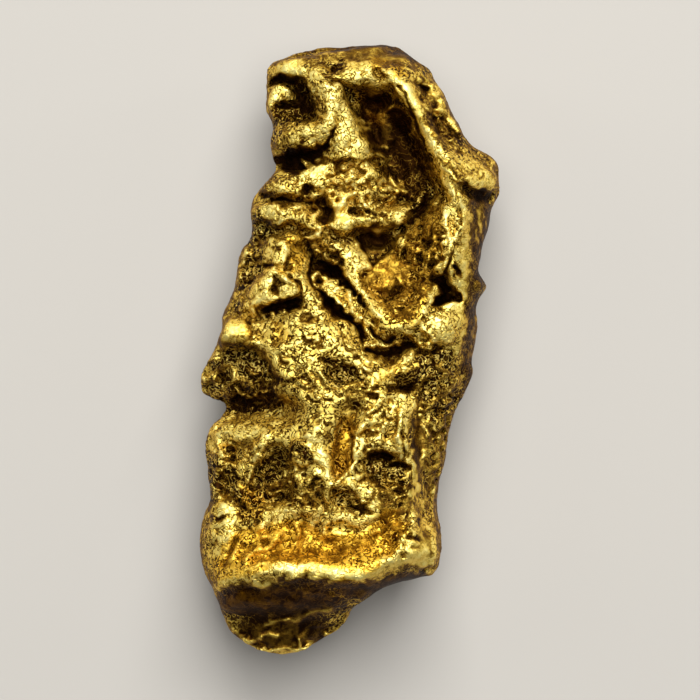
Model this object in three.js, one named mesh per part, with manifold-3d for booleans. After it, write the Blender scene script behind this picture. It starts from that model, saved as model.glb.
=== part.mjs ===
// A natural gold nugget, one solid piece, lying on its worn back with its face up.
// Millimetres. +Z is up, +Y runs from the toe to the head, +X to the nugget's right as its face is seen.
// The origin is on the surface that it rests on, under the middle of its outline.
import * as THREE from "three";
import { mergeVertices } from "three/addons/utils/BufferGeometryUtils.js";
import Module from "manifold-3d";

const wasm = await Module();
wasm.setup();

// ---- Driving dimensions ----
const LENGTH = 30; // toe to head
const HALF = LENGTH / 2;
const HALF_WIDTH = 6; // typical, used only to space the points of a ring
const WAIST = 3.7; // height of the widest line round the nugget
const FACE_SIDES = 34; // segments of a ring on the face
const BACK_SIDES = 18; // segments of a ring on the back
const SIDES = FACE_SIDES + BACK_SIDES;
const RING_GAP = 0.42; // most room between two rings
const RING_CLOSEST = 0.28; // least room between two rings
const FACE_POWER = 3.2; // shoulders of a section's upper half: 2 is an oval, more is squarer
const BACK_POWER = 2.3; // the same for its lower half
const WAIST_BAND = 0.75; // how far up or down a section the small bends of its edge die away
const SHOULDER = 0.65; // the shoulder lines' place, as a share of the half-width

// ---- Edges, seen from above: [place along the length, place across] from toe to head ----
const LEFT_EDGE = [
  [-HALF, -3.3], [-14.8, -4.5], [-14.5, -5.05], [-14.1, -5.55], [-13.6, -5.95], [-12.8, -6.35],
  [-12.0, -6.65], [-11.3, -6.95], [-10.8, -7.15], [-10.2, -7.25], [-9.5, -7.28], [-8.6, -7.2],
  [-7.8, -7.0], [-7.3, -6.85], [-6.6, -6.95], [-5.6, -7.05], [-4.9, -7.15], [-4.4, -7.08],
  [-3.9, -6.93], [-3.6, -6.7], [-3.3, -6.3], [-3.0, -6.0], [-2.7, -5.97], [-2.45, -6.4],
  [-2.2, -7.1], [-1.85, -7.3], [-1.4, -7.3], [-0.9, -7.18], [-0.4, -6.9], [0.1, -6.6],
  [0.6, -6.42], [1.05, -6.25], [1.6, -6.28], [2.1, -6.08], [2.7, -5.8], [3.2, -5.62],
  [4.2, -5.5], [4.8, -5.33], [5.3, -4.95], [5.6, -4.75], [6.2, -4.72], [6.8, -4.83],
  [7.3, -4.75], [7.8, -4.45], [8.2, -4.15], [8.5, -3.65], [8.8, -3.35], [9.2, -3.5],
  [9.6, -3.83], [10.2, -3.93], [10.75, -3.75], [11.1, -3.78], [11.6, -4.03], [12.5, -4.08],
  [13.5, -4.1], [13.9, -3.98], [14.25, -3.4], [14.55, -2.6], [14.8, -1.5], [14.93, 0.2], [HALF, 1.7],
];
const RIGHT_EDGE = [
  [-HALF, -3.3], [-14.8, -2.3], [-14.4, -1.75], [-14.0, -1.0], [-13.6, -0.38], [-13.0, -0.02],
  [-12.6, 0.15], [-12.1, 0.65], [-11.75, 1.15], [-11.5, 2.0], [-11.25, 3.1], [-11.0, 4.05],
  [-10.6, 4.32], [-9.9, 4.48], [-9.2, 4.5], [-8.5, 4.33], [-7.9, 4.13], [-7.3, 4.1],
  [-6.5, 4.27], [-5.6, 4.6], [-4.8, 4.78], [-3.9, 4.98], [-3.1, 5.25], [-2.3, 5.6],
  [-1.5, 5.93], [-1.0, 6.08], [-0.6, 5.98], [0.0, 6.07], [1.2, 6.22], [2.2, 6.18],
  [2.7, 6.5], [3.1, 6.72], [3.5, 6.55], [3.8, 6.35], [4.6, 6.45], [5.4, 6.58],
  [6.0, 6.82], [7.0, 6.9], [7.35, 7.12], [7.75, 7.28], [8.3, 7.18], [9.0, 7.2],
  [9.4, 6.95], [9.7, 6.45], [10.0, 5.95], [10.4, 5.63], [11.2, 5.3], [12.0, 4.9],
  [12.7, 4.6], [13.1, 4.3], [13.5, 4.06], [13.8, 3.88], [14.1, 3.4], [14.5, 2.8], [14.8, 2.4], [HALF, 1.7],
];

// The same two lines without their small bends: the shape that the body has above and below the waist.
const LEFT_BODY = [
  [-HALF, -3.3], [-14, -5.2], [-12, -6.4], [-10, -6.95], [-7, -6.75], [-4, -6.55], [-1, -6.45],
  [2, -5.75], [5, -4.9], [8, -4.15], [11, -3.8], [13.3, -3.6], [14.4, -2.5], [HALF, 1.7],
];
const RIGHT_BODY = [
  [-HALF, -3.3], [-14.2, -1.6], [-13, -0.2], [-11.6, 1.9], [-10, 4.0], [-8, 4.2], [-5, 4.6],
  [-2, 5.3], [2, 5.95], [5, 6.25], [8, 6.6], [10, 5.8], [12, 4.75], [13.6, 3.8], [14.6, 2.6], [HALF, 1.7],
];

// ---- Height of the face along the nugget: [place along the length, height], hollows left out ----
const LEFT_SHOULDER = [
  [-HALF, 3.9], [-14.5, 4.2], [-13, 5.3], [-11.6, 7.0], [-10.9, 7.5], [-9.3, 6.6], [-7.5, 6.5],
  [-5, 6.6], [-2.5, 6.3], [0, 6.9], [2, 6.9], [4, 6.6], [6, 6.5], [8, 6.6], [10, 6.9],
  [12, 6.7], [13.7, 6.3], [HALF, 4.6],
];
const CROWN = [
  [-HALF, 4.0], [-14.5, 4.3], [-13, 5.4], [-11.6, 7.2], [-10.7, 7.9], [-9.3, 6.9], [-7.5, 7.5],
  [-5, 7.7], [-2.5, 7.8], [0, 7.7], [2, 7.3], [4, 6.8], [6, 6.5], [8, 6.5], [10, 6.8],
  [12, 7.1], [13.6, 6.8], [14.5, 6.0], [HALF, 4.9],
];
const RIGHT_SHOULDER = [
  [-HALF, 3.9], [-14.5, 4.1], [-13, 5.2], [-11.6, 7.2], [-10.7, 8.1], [-9.3, 7.7], [-7.5, 7.5],
  [-5, 7.3], [-2.5, 7.0], [0, 7.2], [2, 7.4], [4, 7.4], [6, 7.3], [8, 7.2], [10, 7.0],
  [12, 6.9], [13.7, 6.3], [HALF, 4.6],
];
// Depth of the back below the waist. The deepest stretch is worn flat where it lies.
const BACK_DEPTH = [
  [-HALF, 1.0], [-14, 1.9], [-12, 2.6], [-9.5, 3.5], [-6, 4.05], [-2, 3.85], [2, 3.9], [6, 4.1],
  [9, 3.6], [11.5, 3.1], [13.5, 2.5], [HALF, 1.0],
];

// A smooth line through [place, value] points, as a function of the place.
function lineThrough(points) {
  const places = points.map(([place]) => place);
  const values = points.map(([, value]) => value);
  const line = new THREE.CubicInterpolant(places, values, 1);
  return (place) => line.evaluate(THREE.MathUtils.clamp(place, places[0], places.at(-1)))[0];
}

const leftEdge = lineThrough(LEFT_EDGE);
const rightEdge = lineThrough(RIGHT_EDGE);
const leftBody = lineThrough(LEFT_BODY);
const rightBody = lineThrough(RIGHT_BODY);
const leftShoulder = lineThrough(LEFT_SHOULDER);
const crown = lineThrough(CROWN);
const rightShoulder = lineThrough(RIGHT_SHOULDER);
const backDepth = lineThrough(BACK_DEPTH);

// ---- Modelling tools: each gives the height that it adds at a point (x, y) ----
const swell = (r) => (r < 1 ? (1 - r * r) ** 2 : 0); // 1 in the middle, 0 from r = 1 outwards

// A rounded lump, or a hollow where its height is negative. turn is in degrees.
function lump(x, y, across, along, height, turn = 0) {
  const centre = new THREE.Vector2(x, y);
  const angle = -THREE.MathUtils.degToRad(turn);
  return (px, py) => {
    const p = new THREE.Vector2(px, py).sub(centre).rotateAround(new THREE.Vector2(), angle);
    return height * swell(Math.hypot(p.x / across, p.y / along));
  };
}

// A ridge along a smooth path, or a groove where its height is negative. reach is its half-width.
function fold(path, reach, height) {
  const spine = new THREE.SplineCurve(path.map(([x, y]) => new THREE.Vector2(x, y)));
  const joints = spine.getPoints(path.length * 6);
  return (px, py) => {
    const p = new THREE.Vector2(px, py);
    let nearest = Infinity;
    for (let i = 1; i < joints.length; i++) {
      const run = joints[i].clone().sub(joints[i - 1]);
      const from = p.clone().sub(joints[i - 1]);
      const t = THREE.MathUtils.clamp(from.dot(run) / run.lengthSq(), 0, 1);
      nearest = Math.min(nearest, from.addScaledVector(run, -t).length());
    }
    return height * swell(nearest / reach);
  };
}

// ---- What stands out of the face ----
const TOE_CREST = [[-6.2, -11.3], [-4.8, -10.7], [-2.4, -10.5], [-0.2, -10.9], [1.6, -10.5], [3.8, -10.5]];
const RAISED = [
  fold([[-3.8, 13.5], [-3.0, 13.9], [-2.0, 13.2]], 0.7, 0.7), // ridge over the corner hollow
  fold([[-1.5, 12.6], [-0.6, 11.4], [0.1, 10.0]], 1.2, 0.5), // long tongue beside the scoop
  lump(-2.4, 10.3, 1.7, 1.0, 0.9), // knob below the corner hollow
  lump(-3.3, 8.0, 1.5, 0.6, 0.6), // upper lip of the shelf
  lump(-3.2, 6.7, 1.6, 0.6, 0.6), // lower lip of the shelf
  fold([[2.0, 13.3], [3.1, 11.8], [3.9, 10.0], [4.9, 8.9]], 0.8, 0.7), // rim of the scoop
  lump(6.1, 8.7, 1.6, 1.05, 1.3, -20), // ear at the head's right
  fold([[5.0, 8.2], [5.5, 6.5], [5.4, 4.0], [5.3, 1.5], [5.4, -0.5]], 0.7, 0.6), // right-hand ridge
  lump(4.5, 1.1, 0.9, 1.2, 0.4), // flat at the ridge's foot
  fold([[-0.4, 4.2], [0.5, 3.0], [1.5, 1.9]], 0.7, 0.5), // near rim of the bowl
  lump(-3.45, 4.65, 0.75, 0.85, 0.6), // ringed knob
  lump(-3.6, 2.9, 1.3, 1.1, 0.8), // three-cornered boss
  lump(-5.55, 0.8, 0.95, 0.8, 1.0), // polished bulb at the left edge
  lump(-6.4, -1.3, 1.0, 1.1, 0.8), // spur below the bulb
  lump(-6.2, -4.2, 1.1, 0.8, 0.5), // shoulder below the notch
  fold([[-3.9, -4.0], [-4.5, -5.0], [-4.9, -6.0]], 0.7, 0.5), // rib in the left hollow
  fold([[1.0, -3.0], [0.4, -4.0], [0.4, -5.4], [-0.6, -6.4]], 0.6, 0.3), // lip of the gouge
  fold([[2.9, -2.8], [2.6, -4.4], [3.0, -6.0], [3.3, -7.6]], 0.7, 0.5), // right-hand rib
  lump(3.4, -9.4, 1.3, 1.6, 0.5), // corner knob at the toe
  fold(TOE_CREST, 0.7, 0.5), // crest over the toe
];

// ---- What is hollowed out of the face ----
const HOLLOWED = [
  lump(-2.7, 12.35, 1.6, 1.5, -2.0), // hollow at the upper left corner
  fold([[0.8, 11.6], [1.6, 10.4], [2.4, 9.0], [2.8, 7.4]], 1.9, -2.3), // scoop beside the tongue
  lump(1.3, 5.4, 1.5, 1.4, -1.0), // shaded pocket under the ledge
  lump(2.2, 3.8, 2.3, 2.9, -1.7), // bowl at the scoop's lower end
  lump(0.0, 7.9, 1.6, 1.6, -0.5), // scaly floor beside the scoop
  fold([[-3.9, 9.2], [-2.4, 9.3], [-1.5, 9.6]], 0.8, -1.3), // cleft under the knob
  fold([[-4.6, 7.55], [-3.0, 7.35], [-1.1, 6.8]], 0.7, -0.7), // cleft in the shelf
  lump(-5.0, 4.3, 1.1, 2.3, -1.4), // steep side left of the ringed knob
  fold([[-4.3, 1.7], [-3.4, 1.85], [-2.4, 2.3]], 0.7, -0.7), // undercut of the three-cornered boss
  fold([[-1.9, 4.9], [-1.0, 3.7], [0.0, 2.2], [0.8, 0.7], [2.0, -0.1], [3.1, 0.2]], 1.2, -1.2), // long crack
  lump(4.6, 2.9, 0.85, 1.0, -1.3), // hole beside the right-hand ridge
  lump(-4.9, -1.2, 1.4, 1.5, -1.3), // hollow beside the spur
  fold([[-6.6, -2.75], [-4.8, -2.85], [-3.2, -2.95]], 1.1, -1.3), // notch under the spur
  lump(-0.3, -1.1, 1.35, 0.75, -0.8, -20), // oval dish
  lump(4.2, -2.1, 1.4, 1.9, -1.0), // hollow below the ridge's foot
  fold([[0.0, -3.2], [-0.3, -4.5], [-0.4, -5.8]], 1.0, -0.6), // smooth gouge
  lump(-3.8, -6.1, 1.8, 1.9, -1.5), // left hollow
  lump(-6.6, -6.3, 1.0, 1.6, -0.9), // its mouth in the left edge
  lump(1.8, -5.9, 1.5, 1.1, -0.9), // pit left of the rib
  lump(-0.1, -7.4, 1.0, 0.8, -0.6), // pit below the gouge
  lump(-4.6, -13.0, 2.4, 1.4, -0.5), // dished side of the toe
];

// ---- Lumps and hollows of the sides and back: [x, y, z, reach, height out of the body] ----
const ROUND_THE_BODY = [
  [6.2, 9.0, 3.0, 3.2, 0.9], [5.2, 12.0, 3.0, 2.6, -0.6], [6.6, 4.6, 1.6, 2.6, -0.9],
  [6.4, 1.0, 2.2, 2.4, 0.7], [5.6, -3.2, 2.4, 2.8, -0.9], [4.6, -7.4, 2.6, 2.6, 0.8],
  [2.2, -11.6, 2.6, 2.4, -0.5], [-6.8, -9.4, 2.4, 3.0, 0.6], [-6.9, -5.6, 2.0, 2.4, -0.8],
  [-7.0, -1.4, 2.6, 2.2, 0.5], [-6.2, 2.4, 2.0, 2.6, -0.9], [-5.0, 6.4, 2.2, 2.2, 0.7],
  [-4.2, 9.8, 2.4, 2.4, -0.7], [-3.6, 12.8, 2.0, 2.2, 0.5], [-3.4, 8.4, -0.2, 3.0, -0.9],
  [2.8, 9.6, -0.3, 3.0, -0.7], [4.0, 2.6, 0.2, 3.2, -0.9], [-3.6, 0.6, -0.2, 2.8, -0.8],
  [2.2, -3.4, -0.2, 3.0, -0.7], [-4.0, -6.4, 0.2, 2.8, 0.5], [-1.4, -10.2, 0.6, 3.2, -0.6],
  [-3.6, -13.2, 1.8, 2.2, 0.5], [0.6, 12.6, 1.2, 2.6, -0.6],
];

const sum = (features, x, y) => features.reduce((height, feature) => height + feature(x, y), 0);

// Places of the rings along the nugget: one at each bend of an edge, and more where those are far apart.
function ringPlaces() {
  const bends = [...LEFT_EDGE, ...RIGHT_EDGE].map(([place]) => place).sort((a, b) => a - b);
  const places = [bends[0]];
  for (const bend of bends.slice(1)) {
    const last = places.at(-1);
    const gap = bend - last;
    if (gap < RING_CLOSEST && bend < HALF) continue;
    const parts = Math.ceil(gap / RING_GAP);
    for (let i = 1; i <= parts; i++) places.push(last + (gap * i) / parts);
  }
  return places;
}

// How far the body stands out at a point, from the lumps and hollows round it.
function standOut(p) {
  let height = 0;
  for (const [x, y, z, reach, out] of ROUND_THE_BODY) {
    height += out * swell(p.distanceTo(new THREE.Vector3(x, y, z)) / reach);
  }
  return height;
}

// The points round a ring, from the left edge over the face and back under it, evenly spaced along an oval.
// across runs from -1 at the left edge to 1 at the right.
function ringPoints() {
  const oval = new THREE.EllipseCurve(0, 0, HALF_WIDTH, WAIST, Math.PI, 0, true);
  const spaced = (segments) => oval.getSpacedPoints(segments).map((p) => p.x / HALF_WIDTH);
  const face = spaced(FACE_SIDES).slice(0, -1);
  const back = spaced(BACK_SIDES).reverse().slice(0, -1);
  return [
    ...face.map((across) => ({ across, onFace: true })),
    ...back.map((across) => ({ across, onFace: false })),
  ];
}

// The point of the skin at a place along the nugget and a point round its ring.
function skin(place, { across, onFace }) {
  const power = onFace ? FACE_POWER : BACK_POWER;
  const up = (1 - Math.abs(across) ** power) ** (1 / power);
  const plain = THREE.MathUtils.smoothstep(up, 0, WAIST_BAND);
  const left = THREE.MathUtils.lerp(leftEdge(place), leftBody(place), plain);
  const right = THREE.MathUtils.lerp(rightEdge(place), rightBody(place), plain);
  const x = THREE.MathUtils.lerp(left, right, (across + 1) / 2);
  const s = across / SHOULDER;
  const top =
    crown(place) * (1 - s * s) +
    leftShoulder(place) * 0.5 * s * (s - 1) +
    rightShoulder(place) * 0.5 * s * (s + 1);
  const relief = (sum(RAISED, x, place) + sum(HOLLOWED, x, place)) * up ** 1.5;
  const z = onFace ? WAIST + (top - WAIST) * up + relief : WAIST - backDepth(place) * up;
  const p = new THREE.Vector3(x, place, z);
  const outward = new THREE.Vector3(across, 0, (z - WAIST) / WAIST).normalize();
  const fade = onFace ? 1 - up : 1;
  return p.addScaledVector(outward, standOut(p) * fade * Math.min(1, up + 0.15));
}

// Splits each four-sided patch of a moved sphere along its shorter diagonal, so that no crease breaks into teeth.
function splitAlongShorter(ball) {
  const corners = ball.index;
  const points = ball.getAttribute("position");
  const at = (i) => new THREE.Vector3().fromBufferAttribute(points, i);
  for (let k = 3 * SIDES; k < corners.count - 3 * SIDES; k += 6) {
    const [a, b, d, , c] = [0, 1, 2, 3, 4].map((n) => corners.getX(k + n));
    if (at(a).distanceTo(at(c)) < at(b).distanceTo(at(d))) {
      [a, b, c, a, c, d].forEach((corner, n) => corners.setX(k + n, corner));
    }
  }
}

// The closed skin: a sphere with its poles at toe and head, each point moved to its place on the nugget.
function nuggetSkin() {
  const places = ringPlaces().reverse();
  const ring = ringPoints();
  const ball = new THREE.SphereGeometry(1, SIDES, places.length - 1);
  const points = ball.getAttribute("position");
  for (let i = 0; i < points.count; i++) {
    const place = places[Math.floor(i / (SIDES + 1))];
    const atPole = Math.abs(place) > HALF - 1e-9;
    const p = atPole
      ? new THREE.Vector3(leftEdge(place), place, WAIST)
      : skin(place, ring[(i % (SIDES + 1)) % SIDES]);
    points.setXYZ(i, p.x, p.y, p.z);
  }
  splitAlongShorter(ball);
  return ball;
}

// ---- Joining and cutting ----
function solidOf(geometry) {
  const bare = geometry.clone();
  bare.deleteAttribute("normal");
  bare.deleteAttribute("uv");
  const merged = mergeVertices(bare, 1e-4);
  const vertProperties = new Float32Array(merged.getAttribute("position").array);
  const triVerts = new Uint32Array(merged.index.array);
  return new wasm.Manifold(new wasm.Mesh({ numProp: 3, vertProperties, triVerts }));
}

function geometryOf(solid) {
  const mesh = solid.getMesh();
  const geometry = new THREE.BufferGeometry();
  geometry.setAttribute("position", new THREE.BufferAttribute(mesh.vertProperties, 3));
  geometry.setIndex(new THREE.BufferAttribute(mesh.triVerts, 1));
  geometry.computeVertexNormals();
  return geometry;
}

// Everything below the resting plane is worn away.
function wornFlat(solid) {
  const ground = new THREE.BoxGeometry(LENGTH * 2, LENGTH * 2, LENGTH);
  ground.translate(0, 0, -HALF);
  return solid.subtract(solidOf(ground));
}

const gold = new THREE.MeshStandardMaterial({ color: 0xd8a93c, roughness: 0.3, metalness: 1 });
const nugget = new THREE.Mesh(geometryOf(wornFlat(solidOf(nuggetSkin()))), gold);
nugget.name = "nugget";

const part = new THREE.Group();
part.add(nugget);
export default part;
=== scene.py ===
import math
import bpy
import numpy as np
from mathutils import Matrix, Vector


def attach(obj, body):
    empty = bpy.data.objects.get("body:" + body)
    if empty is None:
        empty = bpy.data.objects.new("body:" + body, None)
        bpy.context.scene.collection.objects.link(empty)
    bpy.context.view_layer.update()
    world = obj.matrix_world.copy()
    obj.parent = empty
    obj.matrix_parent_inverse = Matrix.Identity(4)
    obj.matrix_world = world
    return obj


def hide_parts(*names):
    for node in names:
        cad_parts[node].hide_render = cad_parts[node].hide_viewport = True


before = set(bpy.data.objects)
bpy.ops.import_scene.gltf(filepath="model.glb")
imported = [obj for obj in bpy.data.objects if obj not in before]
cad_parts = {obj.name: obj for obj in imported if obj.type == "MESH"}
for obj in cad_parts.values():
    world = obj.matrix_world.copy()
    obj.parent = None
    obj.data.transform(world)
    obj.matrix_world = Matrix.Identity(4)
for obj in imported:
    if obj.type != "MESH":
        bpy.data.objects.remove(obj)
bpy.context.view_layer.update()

# ---- The nugget's form ----
# One lump of native gold, worn and etched in gravel, lying on its worn back. It is modelled like clay:
# the imported solid is remeshed finely, its face is pushed in and built up along given lines, and
# the whole is remeshed again. All sizes in this section are millimetres, and turn is in degrees.
MM = 0.001
CLAY = 0.062  # spacing of the clay's points
SOFTEN = 18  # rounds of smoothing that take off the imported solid's facets
SEED = 20
TOP_WEAR = 7.7  # heights above this are worn down towards the nugget's own top
HEADROOM = 0.62  # the most that a worn top still rises above that
WANDER = [(1.6, 0.06), (0.45, 0.07), (0.2, 0.04)]  # the given lines wander: pitch, size
LATTICE = 64  # random values along each side of a noise's grid, which repeats
LIP_WIDTH, GAP_WIDTH, GAP = 0.06, 0.07, 0.1  # a small flake's lip, the gap under it, and the way down to it
GAP_DEPTH = 1.6  # the gap's depth, as a multiple of the lip's height
GAP_HANG = 1.4  # how far the gap's middle hangs below the lip's, as a multiple of the way down
SAG = 0.45  # how far a lip hangs in its middle, as a share of half its length
DIRT_AND_SHADE = 1.6  # how darkly a crack or pit is coloured, for each millimetre of its depth: partly dirt, partly painted shade


def worked(mesh, kind, **settings):
    """The mesh as one modifier leaves it."""
    bench = bpy.data.objects.new("bench", mesh)
    bpy.context.scene.collection.objects.link(bench)
    modifier = bench.modifiers.new(kind, kind)
    for name, value in settings.items():
        setattr(modifier, name, value)
    depsgraph = bpy.context.evaluated_depsgraph_get()
    result = bpy.data.meshes.new_from_object(bench.evaluated_get(depsgraph))
    bpy.data.objects.remove(bench)
    return result


def points_of(mesh):
    points = np.empty(len(mesh.vertices) * 3, np.float32)
    mesh.vertices.foreach_get("co", points)
    return points.reshape(-1, 3).astype(float)


def normals_of(mesh):
    normals = np.empty(len(mesh.vertices) * 3, np.float32)
    mesh.vertex_normals.foreach_get("vector", normals)
    return normals.reshape(-1, 3)


def smoothstep(value, low, high):
    t = np.clip((value - low) / (high - low), 0, 1)
    return t * t * (3 - 2 * t)


def between(grid, i, j, s, t):
    """Values between a grid's points, s and t of the way from point i, j to the next. The grid repeats."""
    rows, columns = grid.shape
    near = grid[i % rows, j % columns] * (1 - s) + grid[(i + 1) % rows, j % columns] * s
    far = grid[i % rows, (j + 1) % columns] * (1 - s) + grid[(i + 1) % rows, (j + 1) % columns] * s
    return near * (1 - t) + far * t


def noise(x, y, pitch, seed):
    """Smooth random waves over the face, from -1 to 1, about one pitch apart."""
    grid = np.random.default_rng(seed).uniform(-1, 1, (LATTICE, LATTICE))
    u, v = x / pitch + LATTICE / 2, y / pitch + LATTICE / 2
    i, j = np.floor(u).astype(int), np.floor(v).astype(int)
    return between(grid, i, j, smoothstep(u - i, 0, 1), smoothstep(v - j, 0, 1))


def spline(path, steps=6):
    """A smooth line through a path's points."""
    p = np.array([path[0], *path, path[-1]], float)
    t = np.linspace(0, 1, steps, endpoint=False)[:, None]
    spans = [
        0.5 * (2 * b + (c - a) * t + (2 * a - 5 * b + 4 * c - d) * t**2 + (3 * b - a - 3 * c + d) * t**3)
        for a, b, c, d in zip(p, p[1:], p[2:], p[3:])
    ]
    return np.vstack([*spans, p[-1:]])


class Face:
    """The face's points as seen from above. Each tool raises or lowers them."""

    def __init__(self, points, wander):
        x, y = points[:, 0], points[:, 1]
        self.x = x + sum(size * noise(x, y, pitch, SEED + n) for n, (pitch, size) in enumerate(wander))
        self.y = y + sum(size * noise(x, y, pitch, SEED + 9 + n) for n, (pitch, size) in enumerate(wander))
        self.z = points[:, 2].copy()
        self.burnish_and_highlight = np.zeros(len(points))
        self.sunk_dirt_and_shade = np.zeros(len(points))

    def around(self, corners, reach):
        """The points in the rectangle round some corners, widened by reach."""
        low, high = corners.min(0) - reach, corners.max(0) + reach
        inside = (self.x > low[0]) & (self.x < high[0]) & (self.y > low[1]) & (self.y < high[1])
        return np.flatnonzero(inside)

    def beside(self, path, reach):
        """The points within reach of a path, how far each is, and 1 on its left or -1 on its right."""
        line = spline(path)
        where = self.around(line, reach)
        p = np.stack([self.x[where], self.y[where]], 1)
        nearest = np.full(len(where), reach)
        side = np.ones(len(where))
        for start, end in zip(line, line[1:]):
            run = end - start
            length = run @ run
            if length == 0:
                continue
            gap = p - start
            gap = gap - np.clip(gap @ run / length, 0, 1)[:, None] * run
            distance = np.hypot(gap[:, 0], gap[:, 1])
            closer = distance < nearest
            nearest[closer] = distance[closer]
            side[closer] = np.sign(run[0] * gap[closer, 1] - run[1] * gap[closer, 0])
        close = nearest < reach
        return where[close], nearest[close], side[close]

    def ragged(self, where, seed):
        """Random widening and narrowing of what is made at these points, at two pitches."""
        x, y = self.x[where], self.y[where]
        return np.maximum(0.3, 1.15 + 0.5 * noise(x, y, 0.7, seed) + 0.75 * noise(x, y, 0.22, seed + 30))

    def within(self, x, y, across, along, turn=0):
        """The points of an oval, and how far out they are: 0 in its middle, 1 on its rim."""
        angle = math.radians(turn)
        dx, dy = self.x - x, self.y - y
        u = (dx * math.cos(angle) + dy * math.sin(angle)) / across
        v = (-dx * math.sin(angle) + dy * math.cos(angle)) / along
        r = np.hypot(u, v)
        where = np.flatnonzero(r < 2)
        return where, r[where]

    def sink(self, where, depth, profile):
        """Lowers these points, and darkens them the more the deeper they go: partly dirt, partly painted
        shade.
        """
        self.z[where] -= depth * profile
        self.sunk_dirt_and_shade[where] = np.maximum(self.sunk_dirt_and_shade[where], min(1, DIRT_AND_SHADE * depth) * profile)

    def tilt(self, where, share, x, y, height, slope_x, slope_y):
        """Brings these points to a tilted plane, each by its share of the way."""
        plane = height + slope_x * (self.x[where] - x) + slope_y * (self.y[where] - y)
        self.z[where] += share * (plane - self.z[where])

    def ridge(self, width, height, *path):
        """A raised line, made paler along its top: partly rubbed clean, partly painted highlight."""
        where, distance, _ = self.beside(path, width * 2.5)
        uneven = noise(self.x[where], self.y[where], 0.5, SEED + 5)
        profile = (0.8 + 0.6 * uneven) * np.exp(-((distance * self.ragged(where, SEED + 4) / width) ** 2))
        self.z[where] += height * profile
        self.burnish_and_highlight[where] = np.maximum(self.burnish_and_highlight[where], profile)

    def crack(self, width, depth, *path):
        """A sunken line, darkened along its bottom: partly dirt, partly painted shade."""
        where, distance, _ = self.beside(path, width * 3)
        self.sink(where, depth, np.exp(-((distance * self.ragged(where, SEED + 3) / width) ** 3)))

    def scarp(self, drop, width, reach, *path):
        """A step down from a path's left side to its right, dying away at reach."""
        where, distance, side = self.beside(path, reach)
        fade = 1 - smoothstep(distance, 0.3 * reach, reach)
        self.z[where] += 0.5 * drop * np.tanh(side * distance / width) * fade

    def knob(self, x, y, across, along, turn, height):
        where, r = self.within(x, y, across, along, turn)
        self.z[where] += height * np.clip(1 - r**2, 0, 1) ** 0.8

    def pit(self, x, y, across, along, turn, depth):
        where, r = self.within(x, y, across, along, turn)
        self.sink(where, depth, np.exp(-((r * self.ragged(where, SEED + 3)) ** 3)))

    def ring(self, x, y, across, along, turn, width, height):
        where, r = self.within(x, y, across, along, turn)
        self.z[where] += height * np.exp(-(((r - 1) / width) ** 2))

    def bed(self, x, y, across, along, turn, height, slope_x=0.0, slope_y=0.0, firm=1.0):
        """Brings an oval of the face to a plane at a height, tilted by its slopes."""
        where, r = self.within(x, y, across, along, turn)
        uneven = r + 0.35 * noise(self.x[where], self.y[where], 0.6, SEED + 6)
        share = firm * (1 - smoothstep(uneven, 0.55, 1.25))
        self.tilt(where, share, x, y, height, slope_x, slope_y)

    def patch(self, corners, edge=0.1):
        """The points in a patch with these corners, and how surely each is inside it."""
        corners = np.array(corners)
        where = self.around(corners, edge)
        x, y = self.x[where], self.y[where]
        away = np.full(len(where), edge)
        odd = np.zeros(len(where), bool)
        for (ax, ay), (bx, by) in zip(corners, np.roll(corners, -1, 0)):
            run_x, run_y = bx - ax, by - ay
            t = np.clip(((x - ax) * run_x + (y - ay) * run_y) / (run_x**2 + run_y**2), 0, 1)
            away = np.minimum(away, np.hypot(x - ax - t * run_x, y - ay - t * run_y))
            if run_y:
                odd ^= ((ay > y) != (by > y)) & (x < ax + (y - ay) * run_x / run_y)
        return where, smoothstep(np.where(odd, away, -away), -edge, edge)

    def facet(self, height, slope_x, slope_y, *corners):
        """Brings a patch of the face to a tilted plane."""
        where, share = self.patch(corners)
        self.tilt(where, share, *np.mean(corners, 0), height, slope_x, slope_y)

    def flake(self, x, y, size, lean, lift):
        """A small flake's raised lip, paler as painted highlight, with the gap under it dark as painted
        shadow. It leans by an angle in radians.
        """
        run = np.array([math.cos(lean), math.sin(lean)]) * size
        gap = np.array([math.sin(lean), -math.cos(lean)]) * GAP
        middle = np.array([x, y])
        sag = SAG * size / GAP * gap
        self.ridge(LIP_WIDTH, lift, middle - run, middle + sag, middle + run)
        bottom = middle + sag + GAP_HANG * gap
        self.crack(GAP_WIDTH, GAP_DEPTH * lift, middle - run + gap, bottom, middle + run + gap)

    def crumple(self, pitch, slope, seed, strength):
        """Breaks the face into random small flakes, as strongly as told point by point."""
        u, v = self.x / pitch, self.y / pitch
        i, j = np.floor(u).astype(int), np.floor(v).astype(int)
        spots = np.random.default_rng(seed).uniform(0, 1, (LATTICE, LATTICE, 4))
        best = np.full(len(u), 9.0)
        second = np.full(len(u), 9.0)
        lift = np.zeros(len(u))
        for di in (-1, 0, 1):
            for dj in (-1, 0, 1):
                spot = spots[(i + di) % LATTICE, (j + dj) % LATTICE]
                du, dv = u - i - di - spot[:, 0], v - j - dj - spot[:, 1]
                gap = du * du + dv * dv
                nearer = gap < best
                second = np.where(nearer, best, np.minimum(second, gap))
                tilt = slope * pitch * (du * (2 * spot[:, 2] - 1) + dv * (2 * spot[:, 3] - 1))
                lift = np.where(nearer, tilt, lift)
                best = np.minimum(best, gap)
        inner = smoothstep(np.sqrt(second) - np.sqrt(best), 0.0, 0.12)
        self.z += strength * (lift * inner - 0.12 * pitch * (1 - inner))


CELL = 0.15  # spacing at which the surroundings' height is taken
ROWS, COLUMNS = 160, 240  # cells across and along, enough to hold the whole face
BLUR, ROUNDS = 3, 3  # cells to each side that one round of averaging takes in, and its rounds
RISE, FALL = 0.4, 0.9  # the most that the face stands above its surroundings, or drops below them


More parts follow.
